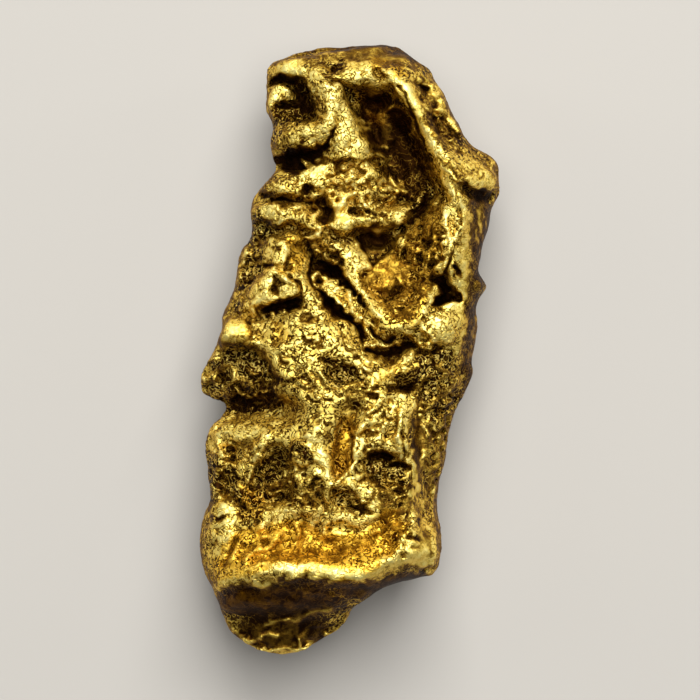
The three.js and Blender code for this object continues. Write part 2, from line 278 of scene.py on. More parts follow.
def surroundings(face):
    """The mean height of the face for about half a millimetre round each point."""
    u, v = (face.x + ROWS * CELL / 2) / CELL, (face.y + COLUMNS * CELL / 2) / CELL
    i, j = u.astype(int), v.astype(int)
    cells = i * COLUMNS + j
    sums = [np.bincount(cells, weight, ROWS * COLUMNS).reshape(ROWS, COLUMNS) for weight in (face.z, None)]
    for axis in (0, 1):
        for _ in range(ROUNDS):
            sums = [sum(np.roll(total, step, axis) for step in range(-BLUR, BLUR + 1)) for total in sums]
    return between(sums[0] / np.maximum(sums[1], 1), i, j, u - i, v - j)


def form_head(face):
    """Corner hollow and its ridge, the tongue, the scoop and its doubled rim, and the ear lobe."""
    face.bed(2.0, 13.6, 1.3, 0.7, 0, 6.5, 0.0, -0.5, 0.8)
    face.bed(0.4, 13.55, 1.0, 0.75, 0, 6.9, -0.05, -0.4, 0.8)
    face.bed(-1.5, 13.9, 0.9, 0.5, 0, 6.3, 0.1, -0.3, 0.6)
    face.bed(-2.75, 12.3, 0.9, 0.9, 20, 5.0, 0.1, -0.3)
    face.bed(-2.3, 11.4, 0.7, 0.4, 0, 5.1, 0.1, 0.5, 0.8)
    face.ridge(0.3, 0.9, (-3.95, 13.3), (-3.6, 13.6), (-3.0, 13.7), (-2.5, 13.5), (-2.05, 13.1),
               (-1.8, 12.6))
    face.crack(0.22, 1.0, (-3.9, 13.15), (-3.2, 13.2), (-2.6, 13.0), (-2.3, 12.75))
    face.crack(0.3, 0.7, (-2.6, 12.6), (-2.35, 12.2), (-2.2, 11.8))
    face.knob(-3.4, 12.5, 0.55, 0.5, 0, 1.3)
    face.pit(-3.2, 11.95, 0.3, 0.15, 0, 0.5)
    face.ridge(0.12, 0.9, (-4.0, 12.7), (-3.92, 12.2), (-3.82, 11.7), (-3.7, 11.3))
    face.scarp(1.6, 0.16, 0.8, (-1.9, 13.1), (-1.75, 12.5), (-1.55, 12.1), (-1.25, 11.75), (-0.95, 11.5),
               (-1.2, 11.2))
    face.ridge(0.14, 0.4, (-1.65, 11.5), (-1.2, 11.25))
    face.pit(0.4, 14.1, 0.13, 0.1, 0, 0.35)
    face.pit(0.78, 14.1, 0.12, 0.1, 0, 0.35)
    face.pit(-0.4, 13.65, 0.28, 0.18, 10, 0.7)
    face.crack(0.1, 0.3, (-1.1, 13.8), (-0.8, 13.5), (-0.3, 13.3))
    face.crack(0.08, 0.25, (-3.9, 13.85), (-3.3, 14.15), (-2.4, 14.3), (-1.4, 14.35))
    # Second knob, with a black recess under it
    face.bed(-2.6, 10.3, 1.05, 0.5, 5, 7.0, 0.0, -0.2, 0.8)
    face.ridge(0.16, 0.4, (-2.9, 9.85), (-2.6, 10.35), (-2.0, 10.6), (-1.45, 10.45), (-1.3, 9.95))
    face.pit(-2.25, 10.2, 0.2, 0.14, 0, 0.45)
    face.pit(-1.85, 10.3, 0.16, 0.13, 0, 0.4)
    face.ridge(0.12, 0.3, (-2.4, 9.85), (-2.0, 9.75), (-1.6, 9.95))
    face.crack(0.08, 0.8, (-1.15, 9.7), (-1.0, 10.25), (-0.75, 10.7))
    face.bed(-2.75, 9.1, 0.95, 0.42, 0, 5.0, 0.2, 0.4)
    face.crack(0.25, 0.9, (-3.4, 9.4), (-2.6, 9.5), (-1.9, 9.55), (-1.4, 9.6))
    face.ridge(0.1, 0.5, (-2.35, 9.3), (-2.2, 9.1), (-2.05, 8.85))
    face.ridge(0.3, 0.45, (-1.15, 9.5), (-1.35, 9.05), (-1.6, 8.7))
    # Tongue beside the scoop
    face.bed(-0.9, 12.1, 0.75, 0.9, 25, 7.0, -0.15, -0.25, 0.85)
    face.bed(-0.2, 10.9, 0.8, 1.0, 25, 6.9, -0.1, -0.15, 0.85)
    face.bed(0.4, 9.8, 0.8, 0.8, 20, 6.8, -0.1, -0.3, 0.8)
    face.scarp(0.5, 0.08, 0.5, (-0.6, 9.1), (0.1, 9.3), (0.7, 9.25), (1.3, 9.35))
    # The scoop, deepest beside the tongue, and the long wall that climbs from it to the rim
    face.bed(0.8, 11.8, 0.75, 1.1, 32, 5.3, -0.3, 0.5)
    face.bed(1.7, 10.8, 0.75, 1.6, 25, 4.7, 0.1, 0.3)
    face.bed(2.7, 9.6, 0.85, 1.8, 20, 4.5, 0.5, 0.35)
    face.bed(3.3, 8.0, 0.8, 1.1, 10, 4.7, 0.3, 0.3)
    face.scarp(1.5, 0.18, 0.9, (-0.3, 13.0), (0.3, 12.85), (0.8, 12.7), (1.3, 12.4), (1.7, 12.6),
               (2.0, 12.9))
    face.scarp(1.0, 0.2, 0.8, (1.05, 10.1), (0.75, 10.9), (0.4, 11.4), (0.1, 12.0), (-0.35, 12.6))
    face.scarp(1.6, 0.25, 1.2, (1.9, 13.0), (2.4, 12.3), (2.95, 11.4), (3.3, 10.6), (3.75, 9.8), (4.2, 9.0),
               (4.4, 8.3))
    for x, y in ((1.5, 9.9), (1.55, 9.4), (1.75, 9.1), (0.7, 11.2), (2.2, 11.8), (3.6, 9.1)):
        face.ridge(0.1, 0.3, (x - 0.3, y + 0.05), (x, y + 0.06), (x + 0.3, y - 0.08))
        face.crack(0.1, 0.3, (x - 0.3, y - 0.14), (x + 0.3, y - 0.24))
    # Doubled rim of the scoop
    face.ridge(0.08, 0.45, (1.9, 13.4), (2.2, 12.8), (2.5, 12.3), (2.85, 11.65), (3.1, 11.1), (3.3, 10.6),
               (3.5, 10.15))
    face.ridge(0.18, 0.6, (1.8, 13.5), (2.35, 13.0), (2.75, 12.7), (3.1, 12.25), (3.25, 11.8), (3.25, 11.45),
               (3.5, 11.05), (3.7, 10.6), (3.87, 10.1), (4.0, 9.7), (4.25, 9.4), (4.6, 9.15), (5.0, 8.9))
    face.crack(0.09, 0.6, (2.3, 12.75), (2.7, 12.2), (2.95, 11.55), (3.13, 11.05), (3.37, 10.5),
               (3.62, 9.95))
    # Outer slope with its lumps and pits
    face.bed(4.3, 11.6, 0.7, 1.9, 28, 5.9, -0.5, -0.2, 0.6)
    face.ridge(0.12, 0.45, (3.35, 13.25), (3.65, 13.05), (3.98, 12.85))
    face.pit(3.55, 12.85, 0.35, 0.16, -15, 0.6)
    face.ring(3.65, 11.85, 0.22, 0.22, 0, 0.6, 0.45)
    face.ridge(0.12, 0.4, (4.1, 13.0), (4.5, 12.75), (4.75, 12.3))
    face.knob(4.45, 12.5, 0.3, 0.25, 0, 0.35)
    face.ridge(0.1, 0.3, (4.1, 12.35), (4.45, 12.2), (4.7, 12.1))
    face.ridge(0.13, 0.45, (4.55, 11.7), (4.85, 11.5), (5.1, 11.1), (5.4, 10.6))
    face.crack(0.14, 0.4, (4.5, 11.3), (4.9, 10.9), (5.2, 10.4))
    face.ridge(0.1, 0.3, (4.35, 10.25), (4.6, 10.05), (4.85, 9.9))
    face.pit(5.3, 9.5, 0.2, 0.15, 0, 0.4)
    face.crack(0.1, 0.3, (4.0, 11.5), (4.3, 11.0), (4.4, 10.6))
    # Ear lobe on the right, undercut along its lower edge
    face.bed(5.9, 8.6, 1.0, 0.6, -18, 7.0, -0.1, -0.2, 0.8)
    face.crack(0.12, 0.5, (4.35, 9.2), (4.9, 8.8), (5.2, 8.4), (5.6, 8.1))
    face.scarp(2.0, 0.12, 0.8, (5.5, 8.05), (5.9, 7.9), (6.3, 7.75), (6.7, 7.72), (7.0, 7.8))
    face.crack(0.08, 0.3, (5.35, 8.75), (5.6, 8.55), (5.9, 8.6))
    face.crack(0.07, 0.25, (6.0, 8.2), (6.25, 8.4), (6.2, 8.75))
    face.crack(0.1, 0.3, (6.65, 9.2), (6.7, 8.8), (6.95, 8.5))


def form_middle(face):
    """Shelf, scaly lumps, bowl, boss, ringed knob, the doubled crack and the right-hand ridge."""
    # Shelf cleft from end to end
    face.bed(-3.1, 7.95, 1.25, 0.4, 5, 6.9, 0.0, -0.3, 0.8)
    face.bed(-3.3, 6.65, 1.4, 0.5, 0, 6.8, 0.1, -0.3, 0.8)
    face.ridge(0.14, 0.4, (-4.0, 7.95), (-3.7, 7.75), (-3.4, 7.6), (-2.9, 7.52), (-2.4, 7.55), (-1.8, 7.45),
               (-1.5, 7.6))
    face.crack(0.09, 0.8, (-4.35, 7.6), (-3.9, 7.4), (-3.4, 7.33), (-2.8, 7.28), (-2.2, 7.2), (-1.7, 7.1),
               (-1.15, 6.75))
    face.pit(-2.05, 7.85, 0.35, 0.15, 0, 0.6)
    face.knob(-4.5, 6.95, 0.3, 0.35, 0, 0.4)
    face.ring(-4.0, 6.8, 0.3, 0.25, 0, 0.5, 0.3)
    face.pit(-3.3, 6.98, 0.25, 0.14, 0, 0.5)
    face.knob(-2.75, 6.9, 0.3, 0.2, 0, 0.35)
    face.knob(-2.35, 6.5, 0.3, 0.25, 0, 0.3)
    face.scarp(1.5, 0.13, 0.7, (-4.6, 6.5), (-4.2, 6.45), (-4.0, 6.15), (-3.6, 5.98), (-3.3, 6.1),
               (-3.0, 6.35), (-2.6, 6.1), (-2.2, 6.0))
    face.ridge(0.2, 0.5, (-1.55, 6.75), (-1.85, 6.35), (-1.95, 5.9), (-1.9, 5.5))
    face.crack(0.2, 0.7, (-1.4, 7.3), (-1.15, 6.8), (-1.25, 6.4))
    face.ridge(0.1, 0.35, (-1.5, 5.95), (-1.6, 5.6))
    face.ridge(0.1, 0.4, (-1.15, 6.1), (-1.05, 5.75), (-1.0, 5.4))
    # Scaly lumps, overlapping downwards
    face.bed(0.3, 8.3, 1.7, 0.9, -10, 6.5, -0.1, -0.15, 0.7)
    face.ridge(0.3, 0.45, (-2.2, 8.55), (-1.9, 8.4), (-1.65, 8.1))
    face.ridge(0.28, 0.4, (-1.4, 7.8), (-0.95, 7.75), (-0.6, 8.1))
    face.ridge(0.3, 0.5, (0.1, 7.7), (-0.35, 7.3), (-0.7, 6.9), (-0.85, 6.5), (-0.7, 6.1))
    face.crack(0.08, 0.4, (-0.5, 7.75), (-0.1, 7.85), (0.3, 7.75))
    face.pit(-0.15, 7.3, 0.12, 0.1, 0, 0.35)
    face.scarp(0.6, 0.1, 0.5, (-0.4, 8.0), (0.3, 8.05), (0.9, 8.1), (1.2, 8.3), (1.6, 8.2))
    face.scarp(0.5, 0.1, 0.45, (0.9, 7.5), (1.3, 7.65), (1.7, 7.45), (2.1, 7.8), (2.5, 7.7))
    face.scarp(0.6, 0.1, 0.5, (1.4, 7.3), (1.7, 7.2), (2.0, 7.05), (2.4, 7.5), (2.8, 7.5))
    face.ridge(0.12, 0.35, (-0.3, 6.65), (0.15, 7.0), (0.55, 7.1), (1.0, 6.85), (1.4, 6.65))
    face.crack(0.1, 0.5, (0.0, 6.72), (0.45, 6.85), (0.9, 6.75))
    face.bed(0.9, 6.25, 0.9, 0.45, 0, 6.3, 0.0, -0.35, 0.6)
    face.knob(2.45, 6.55, 0.55, 0.5, 20, 0.5)
    face.crack(0.1, 0.4, (1.5, 6.5), (1.8, 6.25), (2.1, 6.1))
    # Bowl under a ledge, with a black recess at its head
    face.bed(1.9, 3.4, 1.4, 1.2, 0, 5.7, 0.05, 0.0, 0.9)
    face.facet(4.5, 0.0, 0.1, (0.1, 5.9), (0.6, 4.9), (1.1, 4.0), (1.6, 4.5), (2.2, 5.2), (2.7, 6.1))
    face.facet(6.3, -0.25, -0.3, (-0.5, 5.0), (-0.3, 4.3), (0.3, 3.85), (1.0, 4.0), (0.75, 4.7), (0.2, 5.5))
    face.knob(2.4, 5.2, 0.45, 0.3, 0, 0.5)
    face.scarp(1.4, 0.12, 0.8, (-0.7, 5.75), (-0.3, 5.6), (0.3, 5.8), (0.9, 5.75), (1.4, 5.6), (1.8, 5.85),
               (2.2, 6.05), (2.7, 6.3), (3.1, 6.7), (3.5, 6.9), (3.75, 7.4))
    face.crack(0.15, 0.6, (2.9, 6.2), (3.3, 6.55), (3.6, 6.8), (3.75, 7.4))
    face.scarp(0.3, 0.08, 0.4, (0.3, 3.6), (0.6, 3.25), (1.1, 3.05), (1.8, 2.95))
    face.ridge(0.2, 0.35, (-0.2, 4.2), (0.2, 3.5), (0.6, 3.0), (1.1, 2.5), (1.6, 1.8))
    face.crack(0.12, 0.4, (1.7, 2.5), (2.1, 2.8), (2.5, 3.0))
    face.crack(0.1, 0.35, (2.3, 1.7), (2.7, 2.1), (3.0, 2.6))
    face.bed(3.7, 5.0, 0.7, 1.6, 0, 6.3, 0.45, 0.0, 0.5)
    for x, y in ((3.8, 5.9), (3.75, 5.3), (4.2, 7.3), (4.15, 6.7), (3.2, 4.5), (4.1, 5.2), (3.7, 3.4),
                 (3.8, 4.3), (2.4, 4.8)):
        face.ridge(0.1, 0.35, (x + 0.05, y + 0.3), (x, y), (x - 0.06, y - 0.25))
        face.crack(0.1, 0.35, (x + 0.25, y + 0.2), (x + 0.2, y - 0.25))
    # Ringed knob on an upright rib
    face.ridge(0.32, 0.45, (-2.7, 5.7), (-2.65, 4.9), (-2.5, 4.2), (-2.3, 3.5), (-2.0, 3.0))
    face.knob(-3.5, 4.75, 0.75, 0.8, 0, 0.5)
    face.ridge(0.13, 0.4, (-3.3, 4.0), (-3.15, 4.4), (-3.0, 4.8), (-3.05, 5.1), (-3.4, 5.28), (-3.75, 5.1),
               (-4.0, 4.8), (-4.0, 4.45), (-3.7, 4.35), (-3.5, 4.15))
    face.pit(-3.5, 5.0, 0.28, 0.12, 0, 0.6)
    face.pit(-3.9, 4.1, 0.25, 0.16, 20, 0.8)
    face.crack(0.1, 0.5, (-3.0, 4.5), (-3.1, 4.15), (-3.2, 3.85))
    face.bed(-4.4, 5.6, 0.5, 0.4, 0, 5.0, 0.1, 0.5, 0.8)
    # Three-cornered boss, undercut along its foot
    face.facet(7.2, 0.05, -0.15, (-3.7, 4.0), (-4.65, 3.1), (-4.9, 2.1), (-3.9, 2.25), (-3.1, 2.35),
               (-2.4, 2.75), (-2.9, 3.4))
    face.ridge(0.2, 0.45, (-3.9, 3.75), (-4.2, 3.4), (-4.45, 3.0), (-4.5, 2.5), (-4.7, 2.1))
    face.ridge(0.18, 0.45, (-3.55, 3.85), (-3.2, 3.45), (-2.95, 3.15), (-2.7, 2.8))
    face.ridge(0.16, 0.35, (-4.1, 2.5), (-3.7, 2.4), (-3.3, 2.4), (-3.05, 2.65), (-2.6, 2.7))
    face.crack(0.09, 0.6, (-3.6, 3.6), (-3.5, 3.2), (-3.6, 2.9), (-3.4, 2.75))
    face.crack(0.08, 0.5, (-3.4, 3.25), (-3.1, 3.12), (-2.85, 3.05))
    face.pit(-2.85, 3.03, 0.14, 0.14, 0, 0.5)
    face.pit(-4.3, 2.9, 0.16, 0.1, 30, 0.4)
    face.crack(0.17, 1.4, (-4.25, 1.95), (-3.9, 2.05), (-3.5, 2.1), (-3.2, 2.1), (-2.9, 2.22), (-2.55, 2.35))
    face.crack(0.07, 0.5, (-2.75, 3.5), (-2.4, 3.1), (-2.3, 2.7), (-2.32, 2.35))
    face.crack(0.08, 0.4, (-4.6, 2.1), (-4.45, 1.7), (-4.6, 1.45))
    face.crack(0.07, 0.35, (-4.0, 1.7), (-3.8, 1.45), (-3.6, 1.3))
    # Left-hand slope with its thin winding edge
    face.ridge(0.14, 0.45, (-4.1, 3.8), (-4.55, 3.3), (-4.8, 2.8), (-5.05, 2.2), (-5.35, 1.7), (-5.75, 1.3),
               (-6.15, 1.0), (-6.4, 0.6), (-6.55, 0.1), (-6.85, -0.45))
    face.knob(-5.1, 4.85, 0.2, 0.4, 15, 0.5)
    face.knob(-5.35, 3.6, 0.2, 0.3, 15, 0.4)
    face.ridge(0.1, 0.4, (-4.9, 3.0), (-5.2, 2.6), (-5.25, 2.3))
    face.ridge(0.1, 0.35, (-5.8, 2.3), (-5.6, 1.8), (-5.8, 1.5))
    # Doubled crack and the rib in it
    face.crack(0.38, 1.9, (-1.4, 4.15), (-1.0, 3.95), (-0.7, 3.8))
    face.crack(0.17, 1.3, (-0.7, 3.75), (-0.35, 3.4), (0.0, 2.95), (0.15, 2.65))
    face.crack(0.12, 0.8, (0.3, 2.6), (0.5, 2.4), (0.75, 2.15))
    face.crack(0.11, 1.2, (-2.0, 5.2), (-1.85, 4.8), (-1.9, 4.3), (-1.93, 3.6), (-1.75, 3.1), (-1.4, 2.8))
    face.crack(0.21, 1.5, (-1.5, 2.9), (-1.1, 2.45), (-0.75, 2.0), (-0.4, 1.65), (0.0, 1.5))
    face.crack(0.12, 1.0, (-0.2, 1.6), (0.2, 1.2), (0.45, 0.8), (0.6, 0.4))
    face.crack(0.22, 1.2, (0.5, 0.95), (0.6, 0.7))
    face.ridge(0.08, 0.4, (-1.7, 4.1), (-1.7, 3.6), (-1.55, 3.3), (-1.1, 2.95), (-0.7, 2.55), (-0.45, 2.2))
    face.ridge(0.12, 0.35, (-1.4, 3.4), (-1.0, 3.15), (-0.6, 2.95), (-0.3, 3.0))
    face.ridge(0.2, 0.4, (-0.15, 2.6), (0.0, 2.15), (0.2, 1.75), (0.6, 1.45), (0.95, 1.15))
    face.ridge(0.13, 0.35, (-0.5, 4.15), (-0.2, 3.7), (0.1, 3.2), (0.5, 2.75), (0.95, 2.3), (1.4, 1.7))
    face.ridge(0.12, 0.4, (-1.85, 4.9), (-1.5, 4.6), (-0.9, 4.4), (-0.5, 4.15))
    face.pit(0.65, 1.55, 0.14, 0.12, 0, 0.4)
    face.pit(1.25, 1.35, 0.14, 0.1, 0, 0.4)
    face.crack(0.12, 0.7, (1.05, 1.0), (1.3, 0.75), (1.7, 0.5), (2.1, 0.6))
    face.ring(1.65, 0.85, 0.3, 0.25, 0, 0.45, 0.3)
    # Black lens-shaped hole at the crack's end
    face.crack(0.18, 1.5, (0.85, 0.05), (1.4, -0.1), (2.0, -0.15), (2.6, 0.05), (3.15, 0.25))
    face.facet(5.6, 0.0, 0.2, (0.9, 0.05), (2.0, -0.5), (3.2, 0.1), (3.2, 0.4), (2.3, 0.15))
    face.ridge(0.13, 0.3, (0.9, 0.3), (1.4, 0.25), (2.0, 0.25))
    # Right-hand ridge, doubled like the rim above it
    face.ridge(0.18, 0.55, (4.5, 8.9), (4.6, 8.4), (4.8, 7.95), (5.0, 7.55))
    face.ridge(0.2, 0.7, (5.2, 8.0), (5.4, 7.5), (5.6, 6.9), (5.75, 6.3), (5.6, 5.6), (5.5, 4.9),
               (5.45, 4.2), (5.35, 3.4), (5.3, 2.6))
    face.crack(0.07, 0.4, (5.2, 7.6), (5.35, 7.1), (5.4, 6.6), (5.4, 6.1))
    face.ridge(0.13, 0.5, (4.95, 7.1), (4.7, 6.8), (4.6, 6.3), (4.65, 5.8), (4.9, 5.3), (4.75, 4.8),
               (4.5, 4.3), (4.3, 3.7))
    face.ridge(0.15, 0.35, (5.35, 5.9), (5.2, 5.5), (5.05, 5.2))
    face.crack(0.1, 0.5, (5.0, 5.15), (5.3, 5.05), (5.5, 5.1))
    face.crack(0.1, 0.6, (4.95, 4.7), (4.75, 4.2), (4.6, 3.8))
    face.crack(0.11, 0.8, (5.0, 4.15), (5.2, 3.85), (5.35, 3.5))
    face.crack(0.24, 1.6, (4.35, 3.3), (4.6, 3.1), (4.65, 2.7))
    face.crack(0.24, 1.6, (4.25, 2.35), (4.6, 2.45), (4.95, 2.55), (5.2, 2.65))
    face.ridge(0.15, 0.5, (4.1, 2.7), (3.85, 2.3), (3.65, 1.9), (3.4, 1.5), (3.1, 1.25))
    face.pit(3.65, 1.55, 0.12, 0.18, 30, 0.5)
    face.bed(4.65, 1.1, 0.75, 0.9, 0, 7.1, 0.0, -0.1, 0.8)
    face.ring(3.6, 0.75, 0.22, 0.18, 0, 0.5, 0.25)
    face.ring(3.6, 0.2, 0.22, 0.15, 0, 0.5, 0.25)
    face.ridge(0.12, 0.3, (2.85, 0.9), (3.2, 0.75), (3.4, 0.35), (3.7, 0.0))
    face.ridge(0.1, 0.3, (3.6, 1.05), (3.9, 0.8), (4.15, 0.45))
    face.knob(6.35, 3.15, 0.35, 0.35, 0, 0.6)


def form_waist(face):
    """Polished bulb, hooked spur, notch, plateau and its dish."""
    face.bed(-5.5, 0.85, 1.0, 0.75, 10, 6.5, 0.0, 0.0, 0.9)
    face.knob(-5.5, 0.85, 1.05, 0.8, 10, 0.75)
    face.crack(0.12, 0.4, (-4.9, 1.6), (-4.75, 1.1), (-4.8, 0.6))
    face.bed(-5.4, -0.1, 0.8, 0.35, 0, 5.2, 0.1, 0.7)
    face.bed(-4.8, -1.3, 0.9, 0.9, 0, 5.7, 0.3, 0.15, 0.9)
    face.scarp(0.9, 0.15, 0.7, (-4.65, 0.1), (-4.2, -0.1), (-3.95, -0.5), (-3.75, -0.95), (-3.6, -1.4),
               (-3.6, -2.0))
    face.ridge(0.13, 0.5, (-6.55, -1.5), (-6.45, -1.2), (-6.2, -1.0), (-5.9, -0.85), (-5.7, -1.1),
               (-5.6, -1.5))
    face.pit(-6.15, -1.4, 0.32, 0.32, 0, 0.4)
    face.ridge(0.1, 0.5, (-6.85, -0.5), (-7.1, -0.85), (-7.2, -1.2), (-7.05, -1.55))
    face.bed(-6.4, -0.5, 0.35, 0.45, 20, 5.0, 0.1, 0.2, 0.7)
    face.knob(-3.5, -2.55, 0.3, 0.22, 0, 0.5)
    face.crack(0.3, 0.35, (-6.2, -2.6), (-5.2, -2.6), (-4.2, -2.5), (-3.6, -2.4))
    face.crack(0.08, 0.35, (-3.8, -1.5), (-3.0, -1.58), (-2.4, -1.42), (-2.1, -1.15))
    face.crack(0.1, 0.4, (-2.1, -1.2), (-2.3, -1.45), (-2.1, -1.5))
    face.bed(-1.8, -0.6, 1.9, 1.6, 0, 7.6, 0.0, -0.02, 0.6)
    face.crack(0.11, 0.4, (-2.1, 1.5), (-1.85, 1.55), (-1.6, 1.45))
    face.bed(-0.3, -1.2, 0.95, 0.42, -14, 7.0, 0.1, 0.4)
    face.crack(0.1, 0.3, (-1.4, -0.42), (-0.9, -0.6), (-0.3, -0.75), (0.3, -0.9))
    face.ridge(0.1, 0.3, (-1.5, -0.9), (-1.3, -1.35), (-0.85, -1.8), (-0.3, -1.78), (0.2, -1.62),
               (0.7, -1.5))
    face.pit(0.42, -0.38, 0.2, 0.16, 0, 0.5)
    face.ridge(0.28, 0.4, (3.1, -0.2), (2.4, -0.6), (1.7, -1.05), (1.1, -1.6), (0.8, -2.0))
    face.ridge(0.12, 0.35, (3.1, -0.15), (2.85, -0.6), (2.55, -1.05))
    face.bed(2.7, -1.5, 0.65, 0.5, -15, 6.7, 0.1, 0.6, 0.8)
    face.crack(0.14, 0.5, (1.9, -1.75), (2.4, -1.9), (3.0, -1.85))
    face.crack(0.1, 0.4, (0.6, -2.1), (0.9, -2.1), (1.2, -2.2))
    face.bed(4.2, -1.9, 0.8, 1.5, 0, 6.1, -0.1, 0.2, 0.8)
    face.crack(0.12, 0.5, (3.3, -0.1), (3.9, -0.1), (4.4, 0.05))
    for x, y in ((3.9, -1.3), (4.6, -1.3), (4.3, -2.5), (4.6, -0.6), (3.8, -2.9), (5.0, -1.9)):
        face.ridge(0.12, 0.3, (x - 0.25, y - 0.15), (x, y), (x + 0.25, y + 0.18))


def form_lower(face):
    """Smooth gouge and its lip, the pits, the doubled rib, and the hollows down the left."""
    face.bed(-0.3, -4.5, 0.38, 1.4, -6, 7.0, 0.25, 0.0, 0.9)
    face.bed(-0.4, -5.5, 0.42, 0.5, -20, 6.8, 0.2, 0.3, 0.9)
    face.ridge(0.3, 0.4, (-1.6, -3.9), (-1.5, -4.7), (-1.2, -5.4), (-0.95, -6.1))
    face.ridge(0.09, 0.4, (1.2, -2.6), (0.95, -3.2), (0.6, -3.6), (0.33, -3.95), (0.25, -4.4), (0.3, -4.9),
               (0.28, -5.5), (-0.1, -5.95), (-0.45, -6.35), (-0.9, -6.55), (-1.1, -7.0), (-1.0, -7.4))
    face.crack(0.1, 0.35, (0.1, -4.1), (0.12, -4.8), (0.1, -5.4))
    face.ridge(0.1, 0.3, (0.45, -4.5), (0.55, -4.95), (0.85, -5.08), (1.2, -4.85))
    face.bed(0.9, -4.2, 0.45, 0.5, 0, 7.6, 0.0, -0.2, 0.6)
    face.bed(1.8, -5.85, 1.0, 0.75, -5, 6.6, 0.0, 0.15, 0.9)
    face.crack(0.2, 0.8, (1.05, -5.1), (1.5, -5.0), (1.95, -5.2))
    face.crack(0.16, 0.8, (2.0, -5.6), (2.4, -5.5), (2.8, -5.7))
    face.crack(0.12, 0.5, (0.6, -6.3), (1.1, -6.2), (1.4, -6.6))
    face.bed(-0.1, -7.25, 0.65, 0.42, 0, 6.9, 0.0, 0.2, 0.9)
    face.ridge(0.11, 0.3, (0.0, -6.45), (0.4, -7.0), (0.6, -7.5), (0.85, -7.8))
    face.crack(0.12, 0.5, (0.2, -7.65), (0.5, -7.7), (0.85, -7.8))
    face.pit(-0.8, -6.75, 0.16, 0.14, 0, 0.5)
    face.crack(0.12, 0.5, (-1.85, -6.6), (-1.7, -6.2), (-1.5, -6.2))
    face.crack(0.1, 0.4, (-1.6, -7.0), (-1.3, -7.4), (-1.2, -7.7))
    # Doubled rib, its smooth outer slope, and the speckled strip beyond
    face.ridge(0.1, 0.4, (2.6, -2.6), (2.5, -3.2), (2.38, -3.9), (2.38, -4.6), (2.45, -5.2))
    face.ridge(0.13, 0.55, (3.1, -2.3), (2.85, -3.1), (2.68, -3.9), (2.62, -4.7), (2.8, -5.3), (3.08, -5.9),
               (3.2, -6.4), (3.3, -7.0), (3.35, -7.6))
    face.crack(0.07, 0.5, (2.5, -3.8), (2.5, -4.7), (2.6, -5.3), (2.9, -5.8), (3.0, -6.2))
    face.scarp(0.9, 0.25, 0.9, (3.45, -7.7), (3.35, -6.8), (3.15, -5.6), (2.95, -4.4), (3.0, -3.2))
    for x, y in ((3.7, -4.0), (4.0, -4.6), (4.4, -4.2), (4.3, -5.0), (3.8, -5.4), (4.0, -6.1), (4.15, -6.6),
                 (4.6, -3.6)):
        face.ridge(0.13, 0.35, (x - 0.08, y + 0.25), (x + 0.05, y - 0.2))
        face.crack(0.12, 0.4, (x + 0.22, y + 0.2), (x + 0.28, y - 0.25))
    # Shoulder and the hollows below it
    face.bed(-4.9, -3.9, 1.6, 0.5, 12, 6.6, 0.2, -0.25, 0.7)
    face.ridge(0.16, 0.4, (-6.0, -3.3), (-6.5, -3.65), (-6.85, -4.1))
    face.bed(-3.9, -6.1, 1.0, 1.3, 0, 5.9, 0.1, 0.25, 0.9)
    face.bed(-6.4, -6.3, 0.45, 1.1, 0, 5.3, 0.1, 0.3, 0.9)
    face.bed(-5.2, -7.2, 0.7, 0.6, 0, 5.9, 0.1, 0.2, 0.8)
    face.ridge(0.12, 0.5, (-6.5, -4.6), (-6.2, -5.0), (-5.95, -5.4), (-5.65, -5.6))
    face.ridge(0.12, 0.4, (-6.9, -4.6), (-6.75, -4.95))
    face.ridge(0.1, 0.5, (-3.8, -3.9), (-4.05, -4.3), (-4.25, -4.7))
    face.ridge(0.17, 0.8, (-4.3, -4.95), (-4.6, -5.3), (-4.8, -5.75), (-4.95, -6.2))
    face.pit(-3.75, -3.75, 0.18, 0.14, 0, 0.4)
    face.pit(-5.7, -4.85, 0.25, 0.25, 0, 0.5)
    face.ring(-2.3, -4.95, 0.42, 0.42, 0, 0.35, 0.3)
    face.knob(-2.25, -4.95, 0.16, 0.16, 0, 0.3)
    face.ridge(0.13, 0.4, (-2.6, -5.3), (-2.35, -5.5), (-2.05, -5.4))
    face.knob(-2.8, -5.35, 0.3, 0.3, 0, 0.3)
    for x, y, slant in ((-3.4, -6.6, 1), (-4.4, -6.7, 0), (-5.2, -6.5, 0), (-4.9, -6.9, 1), (-3.8, -7.0, 1),
                        (-6.3, -5.8, 0)):
        face.ridge(0.12, 0.4, (x - 0.2, y + 0.1 * slant), (x, y - 0.12), (x + 0.2, y + 0.15))
    for x, y in ((-2.6, -6.1), (-2.2, -6.6), (-3.0, -6.3), (-1.9, -7.1)):
        face.ridge(0.11, 0.3, (x - 0.3, y + 0.15), (x, y), (x + 0.15, y - 0.2))
    face.scarp(0.8, 0.15, 0.6, (-2.2, -7.5), (-2.7, -7.4), (-3.2, -7.45), (-3.8, -7.6), (-4.3, -7.7))


